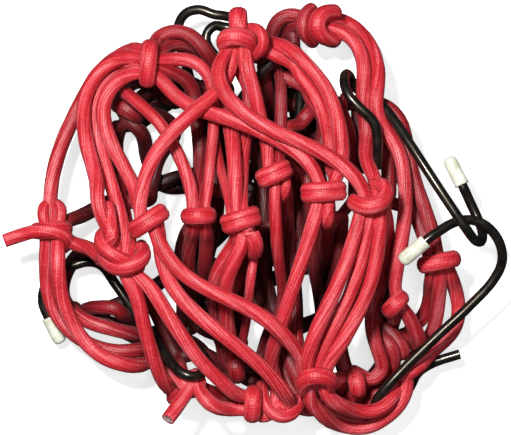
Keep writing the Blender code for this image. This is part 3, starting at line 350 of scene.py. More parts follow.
# Cords deep inside the bundle, bunched under the ones on top, by points of the same kind.
INNER = {
    "inner_brow": [(296, 34, 50), (293, 52, 36), (296, 76, 24), (305, 104, 18), (318, 134, 14),
        (330, 160, 20)],
    "inner_top": [(263, 62, 50), (267, 90, 36), (268, 118, 30), (272, 146, 30), (276, 168, 40)],
    "inner_top_right": [(300, 70, 50), (306, 96, 44), (318, 118, 40), (322, 142, 40), (316, 168, 46),
        (322, 186, 60)],
    "inner_right": [(350, 84, 40), (351, 100, 60), (350, 118, 58), (352, 138, 44), (354, 160, 40),
        (354, 190, 50), (352, 214, 50)],
    "inner_slope": [(292, 134, 46), (306, 114, 40), (322, 98, 34), (334, 92, 30)],
    "inner_shoulder": [(106, 104, 16), (118, 93, 14), (134, 88, 14), (154, 93, 20), (178, 97, 26),
        (204, 92, 34)],
    "inner_crook": [(137, 118, 10), (146, 106, 6), (160, 101, 4), (176, 100, 6), (190, 106, 10)],
    "inner_left": [(138, 104, 36), (147, 122, 26), (153, 140, 20), (155, 162, 20), (151, 186, 20),
        (148, 208, 40)],
    "inner_cheek": [(104, 120, 40), (106, 150, 36), (112, 178, 36), (118, 208, 40)],
    "inner_column": [(204, 96, 30), (206, 130, 24), (207, 165, 26), (206, 200, 40)],
    "inner_column_two": [(222, 112, 36), (222, 145, 30), (223, 178, 36), (226, 204, 50)],
    "inner_heart": [(256, 112, 40), (256, 144, 36), (258, 170, 34), (264, 190, 30), (263, 222, 34),
        (264, 250, 30), (266, 280, 26), (271, 306, 26), (277, 332, 30), (278, 352, 36)],
    "inner_upper": [(290, 160, 40), (298, 186, 36), (301, 214, 34), (302, 242, 30), (297, 268, 26),
        (296, 300, 26), (296, 330, 30), (290, 352, 34)],
    "inner_middle": [(318, 206, 60), (316, 228, 40), (314, 250, 30), (318, 270, 24), (324, 300, 20),
        (322, 330, 24)],
    "inner_right_low": [(342, 206, 60), (341, 228, 44), (336, 250, 36), (334, 276, 30), (330, 300, 30)],
    "inner_curl": [(244, 240, 60), (242, 262, 40), (238, 286, 34), (240, 312, 30), (238, 340, 30)],
    "inner_curl_two": [(256, 224, 50), (248, 240, 40), (244, 264, 32), (248, 290, 26), (254, 308, 20)],
    "inner_small": [(194, 218, 50), (183, 240, 34), (180, 270, 22), (186, 296, 18), (180, 322, 14)],
    "inner_small_two": [(200, 232, 44), (198, 256, 26), (198, 280, 16), (203, 306, 14), (206, 326, 14)],
    "inner_low": [(192, 348, 30), (208, 358, 30), (228, 368, 30), (246, 378, 30), (266, 388, 34)],
    "inner_hem": [(279, 334, 34), (281, 354, 36), (286, 376, 40), (296, 394, 46)],
    "inner_hem_two": [(284, 336, 40), (288, 356, 44), (294, 374, 50), (306, 398, 50)],
    "inner_fan": [(370, 222, 84), (364, 256, 84), (358, 286, 82), (348, 314, 82), (334, 344, 84)],
    "inner_cross_high": [(256, 132, 20), (276, 120, 20), (300, 124, 22), (322, 138, 20), (346, 142, 20)],
    "inner_cross_top": [(262, 92, 24), (280, 104, 22), (302, 104, 24), (330, 120, 24)],
    "inner_cross_middle": [(296, 232, 20), (312, 244, 16), (332, 256, 20), (350, 262, 20)],
    "inner_cross_back": [(252, 150, 20), (270, 160, 20), (296, 158, 20), (318, 150, 20)],
    "inner_cross_low": [(212, 296, 10), (232, 286, 12), (256, 284, 10), (284, 276, 12), (306, 262, 12)],
    "inner_cross_left": [(176, 262, 12), (194, 256, 10), (214, 268, 10), (236, 268, 10), (260, 258, 12)],
    "inner_cross_base": [(226, 318, 10), (246, 308, 10), (268, 316, 12), (290, 326, 12)],
    "inner_upper_two": [(306, 158, 40), (308, 178, 44), (310, 198, 46), (309, 222, 34), (308, 256, 24),
        (302, 278, 20)],
    "inner_flank": [(378, 112, 40), (385, 138, 44), (390, 165, 44), (391, 192, 46), (388, 216, 46)],
    "inner_east": [(378, 212, 50), (388, 236, 40), (390, 262, 34), (386, 290, 30), (378, 314, 30)],
    "inner_tangle": [(366, 314, 30), (382, 322, 34), (396, 330, 30), (400, 346, 26), (396, 362, 24)],
    "inner_tangle_two": [(376, 326, 30), (388, 338, 34), (396, 352, 30), (398, 366, 30), (388, 382, 30),
        (370, 392, 34)],
    "inner_crown": [(256, 50, 94), (270, 55, 92), (285, 63, 90), (300, 76, 88), (314, 94, 84),
        (324, 116, 80), (330, 142, 76), (332, 168, 80), (330, 184, 80)],
    "inner_shade": [(358, 92, 30), (356, 112, 30), (357, 136, 30), (362, 160, 30), (366, 182, 30)],
    "inner_gap": [(213, 150, 30), (213, 182, 34), (215, 208, 36), (213, 236, 34), (207, 260, 30)],
    "inner_heart_two": [(268, 248, 20), (263, 270, 16), (258, 290, 16), (255, 306, 20)],
    "inner_fork": [(280, 340, 30), (297, 328, 24), (311, 324, 20), (328, 314, 20)],
    "inner_west": [(82, 319, 30), (100, 319, 30), (116, 318, 30), (126, 326, 28), (134, 344, 20)],
    "inner_arc": [(311, 388, 70), (320, 401, 70), (338, 413, 80), (362, 418, 90), (384, 412, 80),
        (398, 396, 60), (404, 376, 40)],
    "inner_tuck": [(336, 356, 30), (342, 370, 30), (352, 380, 30), (368, 386, 30), (384, 382, 30)],
    "inner_toe": [(199, 384, 70), (212, 394, 62), (228, 401, 62), (244, 402, 62)],
    "inner_sole": [(188, 318, 30), (200, 329, 24), (216, 333, 24), (228, 344, 30)],
    "inner_tuck_two": [(334, 390, 50), (348, 397, 54), (361, 401, 50), (377, 396, 40), (392, 383, 30)],
}

# Wraps that aren't a plain turn, by points (gx, gy, rise): rise is the height over the knot's
# middle, in mm. The loop named for its knot with _band is the knot's wrap. A knot without one
# has a plain ring.
LOOPS = {
    "crown_band": Loop("crown", [(226, 48, -3), (219, 42, 2.5), (226, 37, 6.5), (238, 36, 7.5),
        (249, 38, 5.5), (254, 45, 0), (248, 51, -4)]),
    "crown_ring": Loop("crown", [(246, 30, -3), (254, 26.5, 2), (262, 30, 5), (266.5, 40, 7), (263, 51, 5),
        (254, 57, -3)]),
    "crown_bight": Loop("crown", [(238, 40, 1), (238, 24, 2.5), (238, 12, 2.0), (238, 8, -1.5),
        (238, 14, -5), (239, 34, -6)]),
    "brow_band": Loop("brow", [(336, 11, -3), (323, 11, 3), (315, 20, 6.5), (315, 31, 6.5), (324, 38, 3),
        (336, 40, -3)]),
    "brow_second": Loop("brow", [(311, 9, -3), (303, 14, 2), (301, 25, 4), (304, 36, 2), (313, 41, -3)]),
    "west_tail": Loop("west", [(4, 241, 1.5), (21, 235, 1), (38, 230, 5), (54, 230, 6.5), (67, 235, 4),
        (71, 243, -1), (60, 248, -5)]),
    "west_left": Loop("west", [(46, 226, 2), (41, 219, 3), (41, 209, 3), (45, 202, -1), (50, 204, -5)]),
    "west_right": Loop("west", [(58, 226, 1), (63, 218, 2), (63, 208, 2), (58, 202, -2), (53, 204, -5)]),
    "cheek_band": Loop("cheek", [(108, 230, -6), (101, 233, -2), (99, 242, 3), (106, 251, 6),
        (117, 257, 7), (131, 262, 4), (140, 268, -3)]),
    "cheek_end": Loop("cheek", [(107, 205, -1), (110, 219, 2.5), (112, 231, 6), (113, 240, 6.5),
        (113, 246, 1.5), (113, 248, -5)]),
    "cheek_second": Loop("cheek", [(104, 258, -4), (112, 267, 3), (124, 270, 6.5), (135, 266, 7.5),
        (144, 259, 6), (148, 252, 1), (142, 247, -3)]),
    "heart_curl_band": Loop("heart", [(238, 224, -3), (246, 227, 2), (254, 233, 3.5), (258, 241, 3.5),
        (257, 248, 2), (255, 252, -2.5), (254, 253, -8)]),
    "middle_tab": Loop("middle", [(327, 196, -2), (328, 208, 2.5), (328, 219, 2), (327, 225, -3),
        (325, 224, -9)]),
    "upper_tab": Loop("upper", [(283, 172, -2), (287, 183, 1), (287, 193, 0), (283, 199, -4),
        (280, 198, -9)]),
    "right_band": Loop("right", [(374, 186, -3), (383, 181, 1), (388, 189, 4), (387, 199, 5.5),
        (379, 206, 7), (367, 208, 7.5), (357, 206, 5), (352, 202, 0)]),
    "hem_band": Loop("hem", [(303, 389, -4), (300, 381, 3), (308, 374, 7), (319, 373, 8), (329, 376, 6),
        (334, 383, 0), (328, 388, -4)]),
    "foot_band": Loop("foot", [(262, 384, -5), (263, 397, 0), (267, 410, 3), (278, 419, 4), (291, 418, 3),
        (299, 408, 0), (300, 397, -5)]),
    "heel_band": Loop("heel", [(194, 374, -5), (203, 380, 0), (204, 389, 1.5), (196, 395, 0),
        (187, 392, -4), (184, 385, -8)]),
    "heel_tail": Loop("heel", [(196, 376, 0), (190, 388, 3), (181, 401, 1), (168, 419, 5)]),
}

# Each hook is one wire from its cap to its eye, by points (gx, gy, rise): rise is the height of
# the wire's middle over the floor, in mm. The first two points are the ends of the cap.
HOOKS = {
    "hook_top": [(199, 138, 20), (195, 108, 19.5), (190, 80, 18.5), (183, 55, 16.5), (178, 38, 16.5),
        (178, 25, 18), (185, 13, 20), (199, 9, 21.5), (214, 14, 22.5), (228, 16, 22), (238, 22, 19),
        (229, 27, 16.5), (214, 25, 17), (206, 35, 17.5), (208, 46, 18), (215, 55, 18)],
    "hook_right": [(448, 157, 30), (462, 185, 31), (470, 202, 30), (477, 217, 30), (482, 231, 32),
        (481, 241, 36), (474, 240, 41), (464, 227, 44.5), (447, 202, 44.5), (428, 173, 42.5),
        (410, 145, 39), (394, 121, 34), (380, 104, 29.5), (366, 95, 26.5), (355, 87, 26), (350, 77, 28.5),
        (346, 74, 33), (344, 82, 38), (348, 95, 41), (358, 107, 42), (369, 117, 42), (375, 127, 41.5),
        (377, 142, 40), (377, 167, 37)],
    "hook_lower_right": [(400, 262, 42.5), (425, 241, 43), (440, 230, 42), (455, 222, 39.5),
        (471, 220, 38), (487, 227, 36.5), (499, 242, 33.5), (502, 262, 30), (493, 281, 28),
        (470, 306, 26.5), (440, 334, 25.5), (405, 368, 24.5), (384, 391, 23.5), (376, 403, 20.5),
        (378, 410, 15.5), (388, 411, 10.5), (402, 402, 8), (411, 389, 8), (419, 374, 9), (434, 364, 10),
        (461, 355, 11)],
    "hook_left": [(60, 344, 7.5), (47, 318, 8), (41, 302, 8.5), (44, 286, 9.5), (56, 273, 11),
        (72, 266, 12), (88, 262, 12.5), (101, 266, 13), (113, 282, 13), (127, 302, 15), (142, 323, 20),
        (155, 341, 27), (167, 357, 34), (180, 371, 39), (193, 376, 40), (204, 371, 36), (206, 360, 29),
        (199, 350, 23)],
    "hook_inner": [(222, 124, 24), (238, 103, 25.5), (251, 86, 28.8), (269, 65, 32), (284, 50, 33),
        (293, 47, 31), (300, 57, 27), (302, 77, 23), (300, 103, 21), (298, 130, 20)],
    "hook_back": [(255, 124, 3.8), (253, 94, 3.8), (252, 82, 3.8), (246, 70, 3.8), (234, 66, 3.8),
        (220, 72, 3.8), (203, 83, 3.8), (186, 94, 3.8), (166, 106, 4.5), (150, 117, 7), (138, 125, 9),
        (125, 127, 10)],
}

# Cords drawn thinner or left thicker than the others, as shares of the usual thickness at their two ends.
THICKNESS = {
    "heart_thin": (0.62, 0.72),
    "shoulder_drop": (1.0, 0.6),
    "heart_curl": (0.66, 0.6),
    "slanted": (0.86, 0.9),
    "upper_left": (0.85, 0.7),
    "hem_middle": (0.92, 0.9),
    "cheek_behind": (0.9, 0.8),
    "crown_middle": (1.08, 0.85),
    "crown_down": (0.75, 0.9),
    "inner_curl_two": (0.7, 0.7),
    "inner_right": (0.75, 0.8),
    "heel_tail": (0.96, 0.96),
    "west_tail": (0.92, 1.0),
}

# Cords and loops whose sheath is darkened with painted shade, unlike the others.
SHADED_CORDS = {"top_rear", "top_rear_low", "brow_left", "brow_back", "inner_brow", "brow_second", "east_outer",
    "east_inner", "west_back", "shoulder_back", "crown_down", "lower_east_in", "inner_arc", "inner_toe"}

# Plain rings that go twice round: half width, and how deep the groove between the two turns is,
# as a share of the cord's radius. The others have the half width and depth under the table.
TWICE_ROUND = {
    "middle": (4.0 * MM, 0.24),
    "upper": (3.8 * MM, 0.22),
    "heart": (4.0 * MM, 0.24),
    "left": (3.6 * MM, 0.16),
}
WRAP_HALF_WIDTH = 3.4 * MM
WRAP_HALF_DEPTH = 2.7 * MM

# Half widths and half depths of the loops, in mm, where they aren't the usual ones.
BAND_SIZES = {
    "crown_ring": (2.3, 2.2),
    "crown_bight": (3.7, 2.6),
    "crown_band": (3.7, 2.8),
    "west_left": (2.3, 2.3),
    "west_right": (2.3, 2.3),
    "foot_band": (2.6, 2.4),
    "heart_curl_band": (3.1, 2.7),
    "middle_tab": (2.7, 2.5),
    "upper_tab": (2.2, 2.2),
    "cheek_band": (2.8, 2.6),
    "cheek_end": (3.3, 2.9),
    "heel_band": (2.8, 2.4),
}
USUAL_BAND = (3.5, 2.8)

# Loose ends, and the face of each mesh that is its cut: the last two are its start and its end.
CUT_FACES = {"west_tail": -2, "heel_tail": -1}

# Wires and caps are in no knot, and the ends of the inner cords are held by none.
NO_KNOT = "-"
HELD_BY_NONE = Strand(None, 0, [], None, 0)

LAMPS = {
    "key": Lamp((-0.32, 0.42, 1.50), 0.22, 34.0, (1.0, 0.985, 0.97), True),
    "fill": Lamp((0.30, -0.10, 1.55), 0.50, 3.5, (0.97, 0.985, 1.0), False),
}


# ---------------------------------------------------------------------------
# Places and lines.

def dome_height(gx, gy):
    across = (gx - DOME_CENTRE[0]) / DOME_REACH
    down = (gy - DOME_CENTRE[1]) / DOME_REACH
    inside = max(0.0, 1 - across ** 2 - down ** 2)
    return RIM_HEIGHT + (CROWN_HEIGHT - RIM_HEIGHT) * math.sqrt(inside)


def place(gx, gy, z):
    return np.array([(gx - SHEET_CENTRE[0]) * SQUARE, (SHEET_CENTRE[1] - gy) * SQUARE, z])


def at_level(gx, gy, level):
    lowest = CORD_R - PRESSED
    return place(gx, gy, lowest + level / 100 * (dome_height(gx, gy) - lowest))


def knot_centre(name):
    knot = KNOTS[name]
    centre = at_level(knot.gx, knot.gy, knot.level)
    centre[2] = max(centre[2], WRAP_DEPTH + CORD_R - PRESSED)
    return centre


def knot_axes(name):
    turn = math.radians(KNOTS[name].turn)
    along_band = np.array([math.cos(turn), math.sin(turn), 0])
    along_cords = np.array([-math.sin(turn), math.cos(turn), 0])
    return along_band, along_cords


def unit(vector):
    return vector / max(np.linalg.norm(vector), TINY)


def unit_rows(vectors):
    return vectors / np.maximum(np.linalg.norm(vectors, axis=1), TINY)[:, None]


def run_along(line):
    """How far along a line each of its points lies."""
    return np.concatenate([[0], np.cumsum(np.linalg.norm(np.diff(line, axis=0), axis=1))])


def points_at(runs, line):
    """The points that lie so far along a line."""
    return np.stack([np.interp(runs, run_along(line), line[:, axis]) for axis in range(3)], axis=1)


def smooth_line(points, step):
    """Even points along a smooth curve that passes through the given ones without a loop."""
    points = np.asarray(points, float)
    ends = [2 * points[0] - points[1], 2 * points[-1] - points[-2]]
    cage = np.vstack([ends[:1], points, ends[1:]])
    fine = []
    for index in range(len(points) - 1):
        corner = cage[index:index + 4]
        knots = np.concatenate([[0], np.cumsum(np.sqrt(np.linalg.norm(np.diff(corner, axis=0), axis=1)))])
        t = np.linspace(knots[1], knots[2], CURVE_STEPS, endpoint=False)[:, None]
        first = [((knots[k + 1] - t) * corner[k] + (t - knots[k]) * corner[k + 1])
                 / (knots[k + 1] - knots[k]) for k in range(3)]
        second = [((knots[k + 2] - t) * first[k] + (t - knots[k]) * first[k + 1])
                  / (knots[k + 2] - knots[k]) for k in range(2)]
        fine.append(((knots[2] - t) * second[0] + (t - knots[1]) * second[1]) / (knots[2] - knots[1]))
    fine = np.vstack(fine + [points[-1:]])
    length = run_along(fine)[-1]
    return points_at(np.linspace(0, length, max(2, int(round(length / step)) + 1)), fine)


def smooth_ring(cage):
    """Even points once round a closed curve through a ring's points."""
    fine = smooth_line(np.vstack([cage[-3:], cage, cage[:3]]), RING_STEP)
    from_first = np.linalg.norm(fine - cage[0], axis=1)
    third, half = len(fine) // 3, len(fine) // 2
    turn = fine[np.argmin(from_first[:third]):half + np.argmin(from_first[half:])]
    length = run_along(turn)[-1]
    return points_at(np.linspace(0, length, int(round(length / FINE_STEP)), endpoint=False), turn)


def strand_end(name, slot, towards):
    """A cord's end inside its knot, and the point where it leaves it."""
    along_band, along_cords = knot_axes(name)
    start = knot_centre(name) + along_band * slot * SLOT_STEP
    heading = unit(towards - start)
    side = 1 if np.dot(heading, along_cords) >= 0 else -1
    return [start, start + unit(side * along_cords * LEAD_SQUARENESS + heading) * LEAD]


def strand_line(row):
    middle = [at_level(*via) for via in row.vias]
    first = strand_end(row.start, row.start_slot, middle[0])
    last = strand_end(row.end, row.end_slot, middle[-1])
    return smooth_line(first + middle + last[::-1], LINE_STEP)


def loop_line(row):
    middle = knot_centre(row.knot)
    return smooth_line([place(gx, gy, middle[2] + rise * MM) for gx, gy, rise in row.points], LINE_STEP)


def hook_line(bends):
    """The ends of the cap, and the wire from just outside it to the eye."""
    closed_end, open_end, *points = [place(gx, gy, rise * MM) for gx, gy, rise in bends]
    leaving = open_end + unit(open_end - closed_end) * WIRE_LEAD
    return closed_end, open_end, smooth_line([leaving] + points, LINE_STEP)


def ring_points(name):
    """The wrap of a plain knot, a closed ring round the cords inside it."""
    along_band, along_cords = knot_axes(name)
    middle = knot_centre(name)
    half = KNOTS[name].reach * MM - CORD_R
    turns = np.arange(WRAP_POINTS) * 2 * math.pi / WRAP_POINTS
    return np.array([middle + along_band * half * math.cos(t) + np.array([0, 0, WRAP_DEPTH * math.sin(t)])
        for t in turns])


def past_middle(line):
    """A cord's line, a little longer at both ends so that it fills its knot."""
    first = line[0] + unit(line[0] - line[1]) * PAST_MIDDLE
    last = line[-1] + unit(line[-1] - line[-2]) * PAST_MIDDLE
    return np.vstack([first, line, last])


def tucked_in(line, outer):
    """An inner cord's line, led at both ends into the middle of the nearest outer cord."""
    first, last = [outer[np.argmin(np.linalg.norm(outer - end, axis=1))] for end in (line[0], line[-1])]
    return np.vstack([first, line[2:-2], last])


# ---------------------------------------------------------------------------
# Easing: the cords are pushed apart where they would lie in each other, in a wire or
# in a knot that isn't theirs. The higher level stays on top.

def ease_apart(lines, rows, blocks):
    """lines: one array of points per cord. blocks: (points, clearance, knot)."""
    counts = [len(line) for line in lines]
    cord = np.repeat(np.arange(len(lines)), counts)
    order = np.concatenate([np.arange(count) for count in counts])
    points = np.vstack(lines)
    layer = points[:, 2].copy()
    near_start = order * LINE_STEP
    near_end = (np.repeat(counts, counts) - 1 - order) * LINE_STEP
    free = np.clip((np.minimum(near_start, near_end) - LEAD) / LEAD, 0, 1)
    start_knot = np.array([row.start for row in rows])[cord]
    end_knot = np.array([row.end for row in rows])[cord]
    held_by = np.where(near_start < near_end, start_knot, end_knot)
    in_knot = np.minimum(near_start, near_end) < KNOT_ZONE
    block_points = np.vstack([block[0] for block in blocks])
    block_gap = np.concatenate([np.full(len(block[0]), block[1]) for block in blocks])
    block_knot = np.concatenate([np.full(len(block[0]), block[2], dtype=object) for block in blocks])
    for turn in range(EASING_PASSES):
        if turn % PAIRS_RENEWED == 0:
            pairs = near_pairs(points, cord, order, held_by, in_knot)
            fixed = near_blocks(points, block_points, block_knot, held_by, in_knot)
        push = np.zeros_like(points)
        one, two = pairs
        each = pushed_off(points[one] - points[two], CORD_GAP, layer[one] >= layer[two]) / 2
        np.add.at(push, one, each)
        np.add.at(push, two, -each)
        one, two = fixed
        block = block_points[two]
        np.add.at(push, one, pushed_off(points[one] - block, block_gap[two], layer[one] >= block[:, 2]))
        push = smooth_push(np.clip(push, -MOST_PUSH, MOST_PUSH), counts)
        points += push * free[:, None] * PUSH_SHARE
        points[:, 2] = np.maximum(points[:, 2], CORD_R - PRESSED)
    return [straightened(line) for line in np.split(points, np.cumsum(counts)[:-1])]


def pushed_off(gap, clearance, above):
    """Pushes, mostly up or down, that bring each gap up to its clearance."""
    short = np.clip(clearance - np.linalg.norm(gap, axis=1), 0, None)
    way = gap * SIDEWAYS_SHARE
    way[:, 2] = np.where(above, 1.0, -1.0) * (np.abs(gap[:, 2]) + LIFT_BIAS)
    return unit_rows(way) * short[:, None]


def smooth_push(push, counts):
    """Each cord's pushes are spread to their neighbours along it."""
    smooth = []
    for part in np.split(push, np.cumsum(counts)[:-1]):
        for _ in range(SPREADING):
            part = averaged(np.vstack([part[:1], part, part[-1:]]))
        smooth.append(part)
    return np.vstack(smooth)


def straightened(line):
    """A taut cord: small bends are drawn out, and its ends stay."""
    for _ in range(SMOOTHING):
        line = np.vstack([line[:1], averaged(line), line[-1:]])
    return line


def averaged(line):
    """Each point but the ends, averaged with its neighbours."""
    return 0.25 * line[:-2] + 0.5 * line[1:-1] + 0.25 * line[2:]


def near_pairs(points, cord, order, held_by, in_knot):
    """Pairs of near points that push each other: not close along one cord, nor in one knot."""
    one, two = np.triu_indices(len(points), 1)
    close = np.linalg.norm(points[one] - points[two], axis=1) < NEAR_PAIR
    one, two = one[close], two[close]
    same = (cord[one] == cord[two]) & (np.abs(order[one] - order[two]) * LINE_STEP < SAME_CORD_APART)
    shared = in_knot[one] & in_knot[two] & (held_by[one] == held_by[two])
    keep = ~(same | shared)
    return one[keep], two[keep]


def near_blocks(points, block_points, block_knot, held_by, in_knot):
    """Pairs of a cord's point and a near point of a wire, a cap or a knot that isn't its own."""
    apart = np.linalg.norm(points[:, None] - block_points[None], axis=2)
    one, two = np.nonzero(apart < NEAR_PAIR)
    own = in_knot[one] & (held_by[one] == block_knot[two])
    return one[~own], two[~own]


# ---------------------------------------------------------------------------
# Materials.

class Finish:
    """A material whose nodes are added one after another."""

    def __init__(self, name):
        self.material = bpy.data.materials.new(name)
        self.material.use_nodes = True
        self.tree = self.material.node_tree
        self.shader = self.tree.nodes["Principled BSDF"]

    def feed(self, socket, value):
        if isinstance(value, bpy.types.NodeSocket):
            self.tree.links.new(value, socket)
        else:
            socket.default_value = value

    def node(self, kind, *inputs, sockets=None, **settings):
        """A node with its settings, its first inputs in order, and others by name or number."""
        made = self.tree.nodes.new("ShaderNode" + kind)
        for key, value in settings.items():
            setattr(made, key, value)
        for key, value in [*enumerate(inputs), *(sockets or {}).items()]:
            self.feed(made.inputs[key], value)
        return made

    def math(self, operation, *inputs):
        return self.node("Math", *inputs, operation=operation).outputs[0]

    def on_piece(self):
        return self.node("TexCoord").outputs["Object"]

    def noise(self, where, scale, detail=2.0, roughness=0.5):
        sockets = {"Vector": where, "Scale": scale, "Detail": detail, "Roughness": roughness}
        return self.node("TexNoise", sockets=sockets).outputs["Fac"]

    def added(self, start, *parts):
        """A number or pattern, with a share of each other pattern added."""
        for pattern, share in parts:
            start = self.math("MULTIPLY_ADD", pattern, share, start)
        return start

    def eased(self, value, low, high, at_low, at_high):
        """A number that changes smoothly while the value rises from low to high."""
        made = self.node("MapRange", value, low, high, at_low, at_high, interpolation_type="SMOOTHSTEP")
        return made.outputs["Result"]

    def ramp(self, value, stops):
        made = self.node("ValToRGB", value)
        ramp = made.color_ramp
        while len(ramp.elements) < len(stops):
            ramp.elements.new(0.5)
        for element, (position, colour) in zip(ramp.elements, stops):
            element.position = position
            element.color = (*colour, 1)
        return made.outputs["Color"]

    def darkened(self, colour, left):
        """A colour times the share of it that is left."""
        grey = self.node("CombineXYZ", left, left, left).outputs["Vector"]
        sockets = {0: 1.0, 6: colour, 7: grey}
        return self.node("Mix", data_type="RGBA", blend_type="MULTIPLY", sockets=sockets).outputs[2]

    def bump(self, height, distance, strength=1.0):
        sockets = {"Height": height, "Distance": distance, "Strength": strength}
        self.set(normal=self.node("Bump", sockets=sockets).outputs["Normal"])

    def set(self, **values):
        for name, value in values.items():
            self.feed(self.shader.inputs[name.replace("_", " ").title().replace("Ior", "IOR")], value)


def sheltered_share(finish, here):
    """The share of colour left on a cord as painted shade: little deep in the bundle, all on top, most at
    the rim.
    """
    split = finish.node("SeparateXYZ", here)
    middle = place(*DOME_CENTRE, 0)
    half = DOME_REACH * SQUARE
    across, down = [finish.added(float(-middle[axis] / half), (split.outputs[axis], 1 / half))
        for axis in (0, 1)]
    outward = finish.math("MULTIPLY_ADD", across, across, finish.math("MULTIPLY", down, down))
    inside = finish.math("SUBTRACT", 1.0, outward)
    rise = finish.math("SQRT", finish.math("MAXIMUM", inside, 0.0))
    height = finish.added(RIM_HEIGHT, (rise, CROWN_HEIGHT - RIM_HEIGHT))
    level = finish.math("DIVIDE", split.outputs["Z"], height)
    lit = finish.eased(level, DEEP_LEVEL, LIT_LEVEL, DEEP_COLOUR, 1.0)
    rim = finish.eased(inside, RIM_OUTSIDE, RIM_INSIDE, RIM_COLOUR, 0.0)
    return finish.math("MAXIMUM", lit, rim)


def sheath_finish(name, brightness):
    """Red woven sheath: ribs along the cord, a diamond weave, pale pulled threads and dark flecks."""
    finish = Finish(name)
    here = finish.on_piece()
    on_cord = finish.node("UVMap", uv_map="along_cord").outputs["UV"]
    around, along, _ = finish.node("SeparateXYZ", on_cord).outputs
    rib_turn = finish.math("MULTIPLY", around, 2 * math.pi * RIBS)
    rib = finish.math("COSINE", rib_turn)
    crossing = finish.math("MULTIPLY", along, 2 * math.pi * RIBS * CROSSING)
    weave = finish.math("MULTIPLY", finish.math("SINE", finish.math("ADD", rib_turn, crossing)),
        finish.math("SINE", finish.math("SUBTRACT", rib_turn, crossing)))
    pulled = finish.node("Mapping", on_cord, sockets={"Scale": THREAD_SCALE}).outputs["Vector"]
    threads = finish.noise(pulled, 1.0, detail=3.0, roughness=0.6)
    patches = finish.noise(here, 90.0, detail=3.0, roughness=0.55)
    flecks = finish.noise(here, 1900.0, roughness=0.6)
    tone = finish.added(-0.35, (threads, 0.95), (patches, 0.30), (rib, 0.03), (weave, 0.035),
        (flecks, 0.50))
    colour = finish.ramp(tone, [(0.28, (0.20, 0.003, 0.006)), (0.42, (0.46, 0.011, 0.020)),
        (0.56, (0.60, 0.032, 0.047)), (0.74, (0.78, 0.185, 0.215))])
    # Painted shade: the colour is darker deep in the bundle, times the share that this copy of the sheath
    # keeps.
    left = finish.math("MULTIPLY", sheltered_share(finish, here), brightness)
    finish.set(base_color=finish.darkened(colour, left), roughness=0.42, sheen_weight=0.05,
        sheen_roughness=0.45, sheen_tint=(1.0, 0.62, 0.66, 1), specular_ior_level=0.46)
    finish.bump(finish.added(flecks, (rib, 0.35), (weave, 0.6)), distance=0.08 * MM, strength=0.9)
    return finish.material


def core_finish():
    """Pale rubber threads in the cut face of a cord."""
    finish = Finish("cut_rubber_core")
    sockets = {"Vector": finish.on_piece(), "Scale": 1300.0}
    threads = finish.node("TexVoronoi", feature="F1", sockets=sockets).outputs["Distance"]
    colour = finish.ramp(threads, [(0.1, (0.80, 0.74, 0.70)), (0.6, (0.55, 0.42, 0.40)),
        (0.9, (0.40, 0.10, 0.11))])
    finish.set(base_color=colour, roughness=0.7)
    finish.bump(threads, distance=-0.15 * MM)
    return finish.material


def wire_finish():
    """Black coated wire, glossy, with faint rubbed patches."""
    finish = Finish("black_coated_wire")
    here = finish.on_piece()
    rubbed = finish.noise(here, 240.0, detail=4.0, roughness=0.6)
    colour = finish.ramp(rubbed, [(0.35, (0.0035, 0.0032, 0.0035)), (0.60, (0.008, 0.0075, 0.007)),
        (0.80, (0.026, 0.022, 0.018))])
    finish.set(base_color=colour, roughness=finish.added(0.14, (rubbed, 0.34)),
        specular_ior_level=0.6, specular_tint=(1.0, 0.90, 0.74, 1), coat_weight=0.25,
        coat_roughness=0.16, coat_tint=(1.0, 0.92, 0.80, 1))
    finish.bump(finish.noise(here, 1500.0), distance=0.02 * MM, strength=0.5)
    return finish.material


def cap_finish():
    """Off-white moulded plastic, a little yellowed and scuffed."""
    finish = Finish("off_white_cap")
    here = finish.on_piece()
    stains = finish.noise(here, 170.0, detail=3.0, roughness=0.6)
    scuffs = finish.noise(here, 900.0, detail=3.0, roughness=0.7)
    tone = finish.added(0.0, (stains, 0.65), (scuffs, 0.35))
    colour = finish.ramp(tone, [(0.32, (0.44, 0.43, 0.30)), (0.46, (0.68, 0.67, 0.54)),
        (0.62, (0.82, 0.81, 0.72))])
    finish.set(base_color=colour, roughness=finish.added(0.25, (scuffs, 0.3)), subsurface_weight=0.08)
    finish.bump(scuffs, distance=0.03 * MM, strength=0.6)
    return finish.material


# ---------------------------------------------------------------------------
# Sweeps.

def directions(line, closed):
    """Unit tangents at the points of a line."""
    ahead = np.roll(line, -1, axis=0) - np.roll(line, 1, axis=0) if closed else np.gradient(line, axis=0)
    return unit_rows(ahead)


def carried_sides(tangents):
    """A side direction carried along the line without twist."""
    side = np.array([0.0, 0.0, 1.0])
    sides = []
    for tangent in tangents:
        side = unit(side - tangent * np.dot(side, tangent))
        sides.append(side)
    return np.array(sides)


def facing_sides(line, tangents, middle):
    """Side directions that face away from a point, for a wrap that lies flat on its cords."""
    away = line - middle
    return unit_rows(away - tangents * np.sum(away * tangents, axis=1)[:, None])


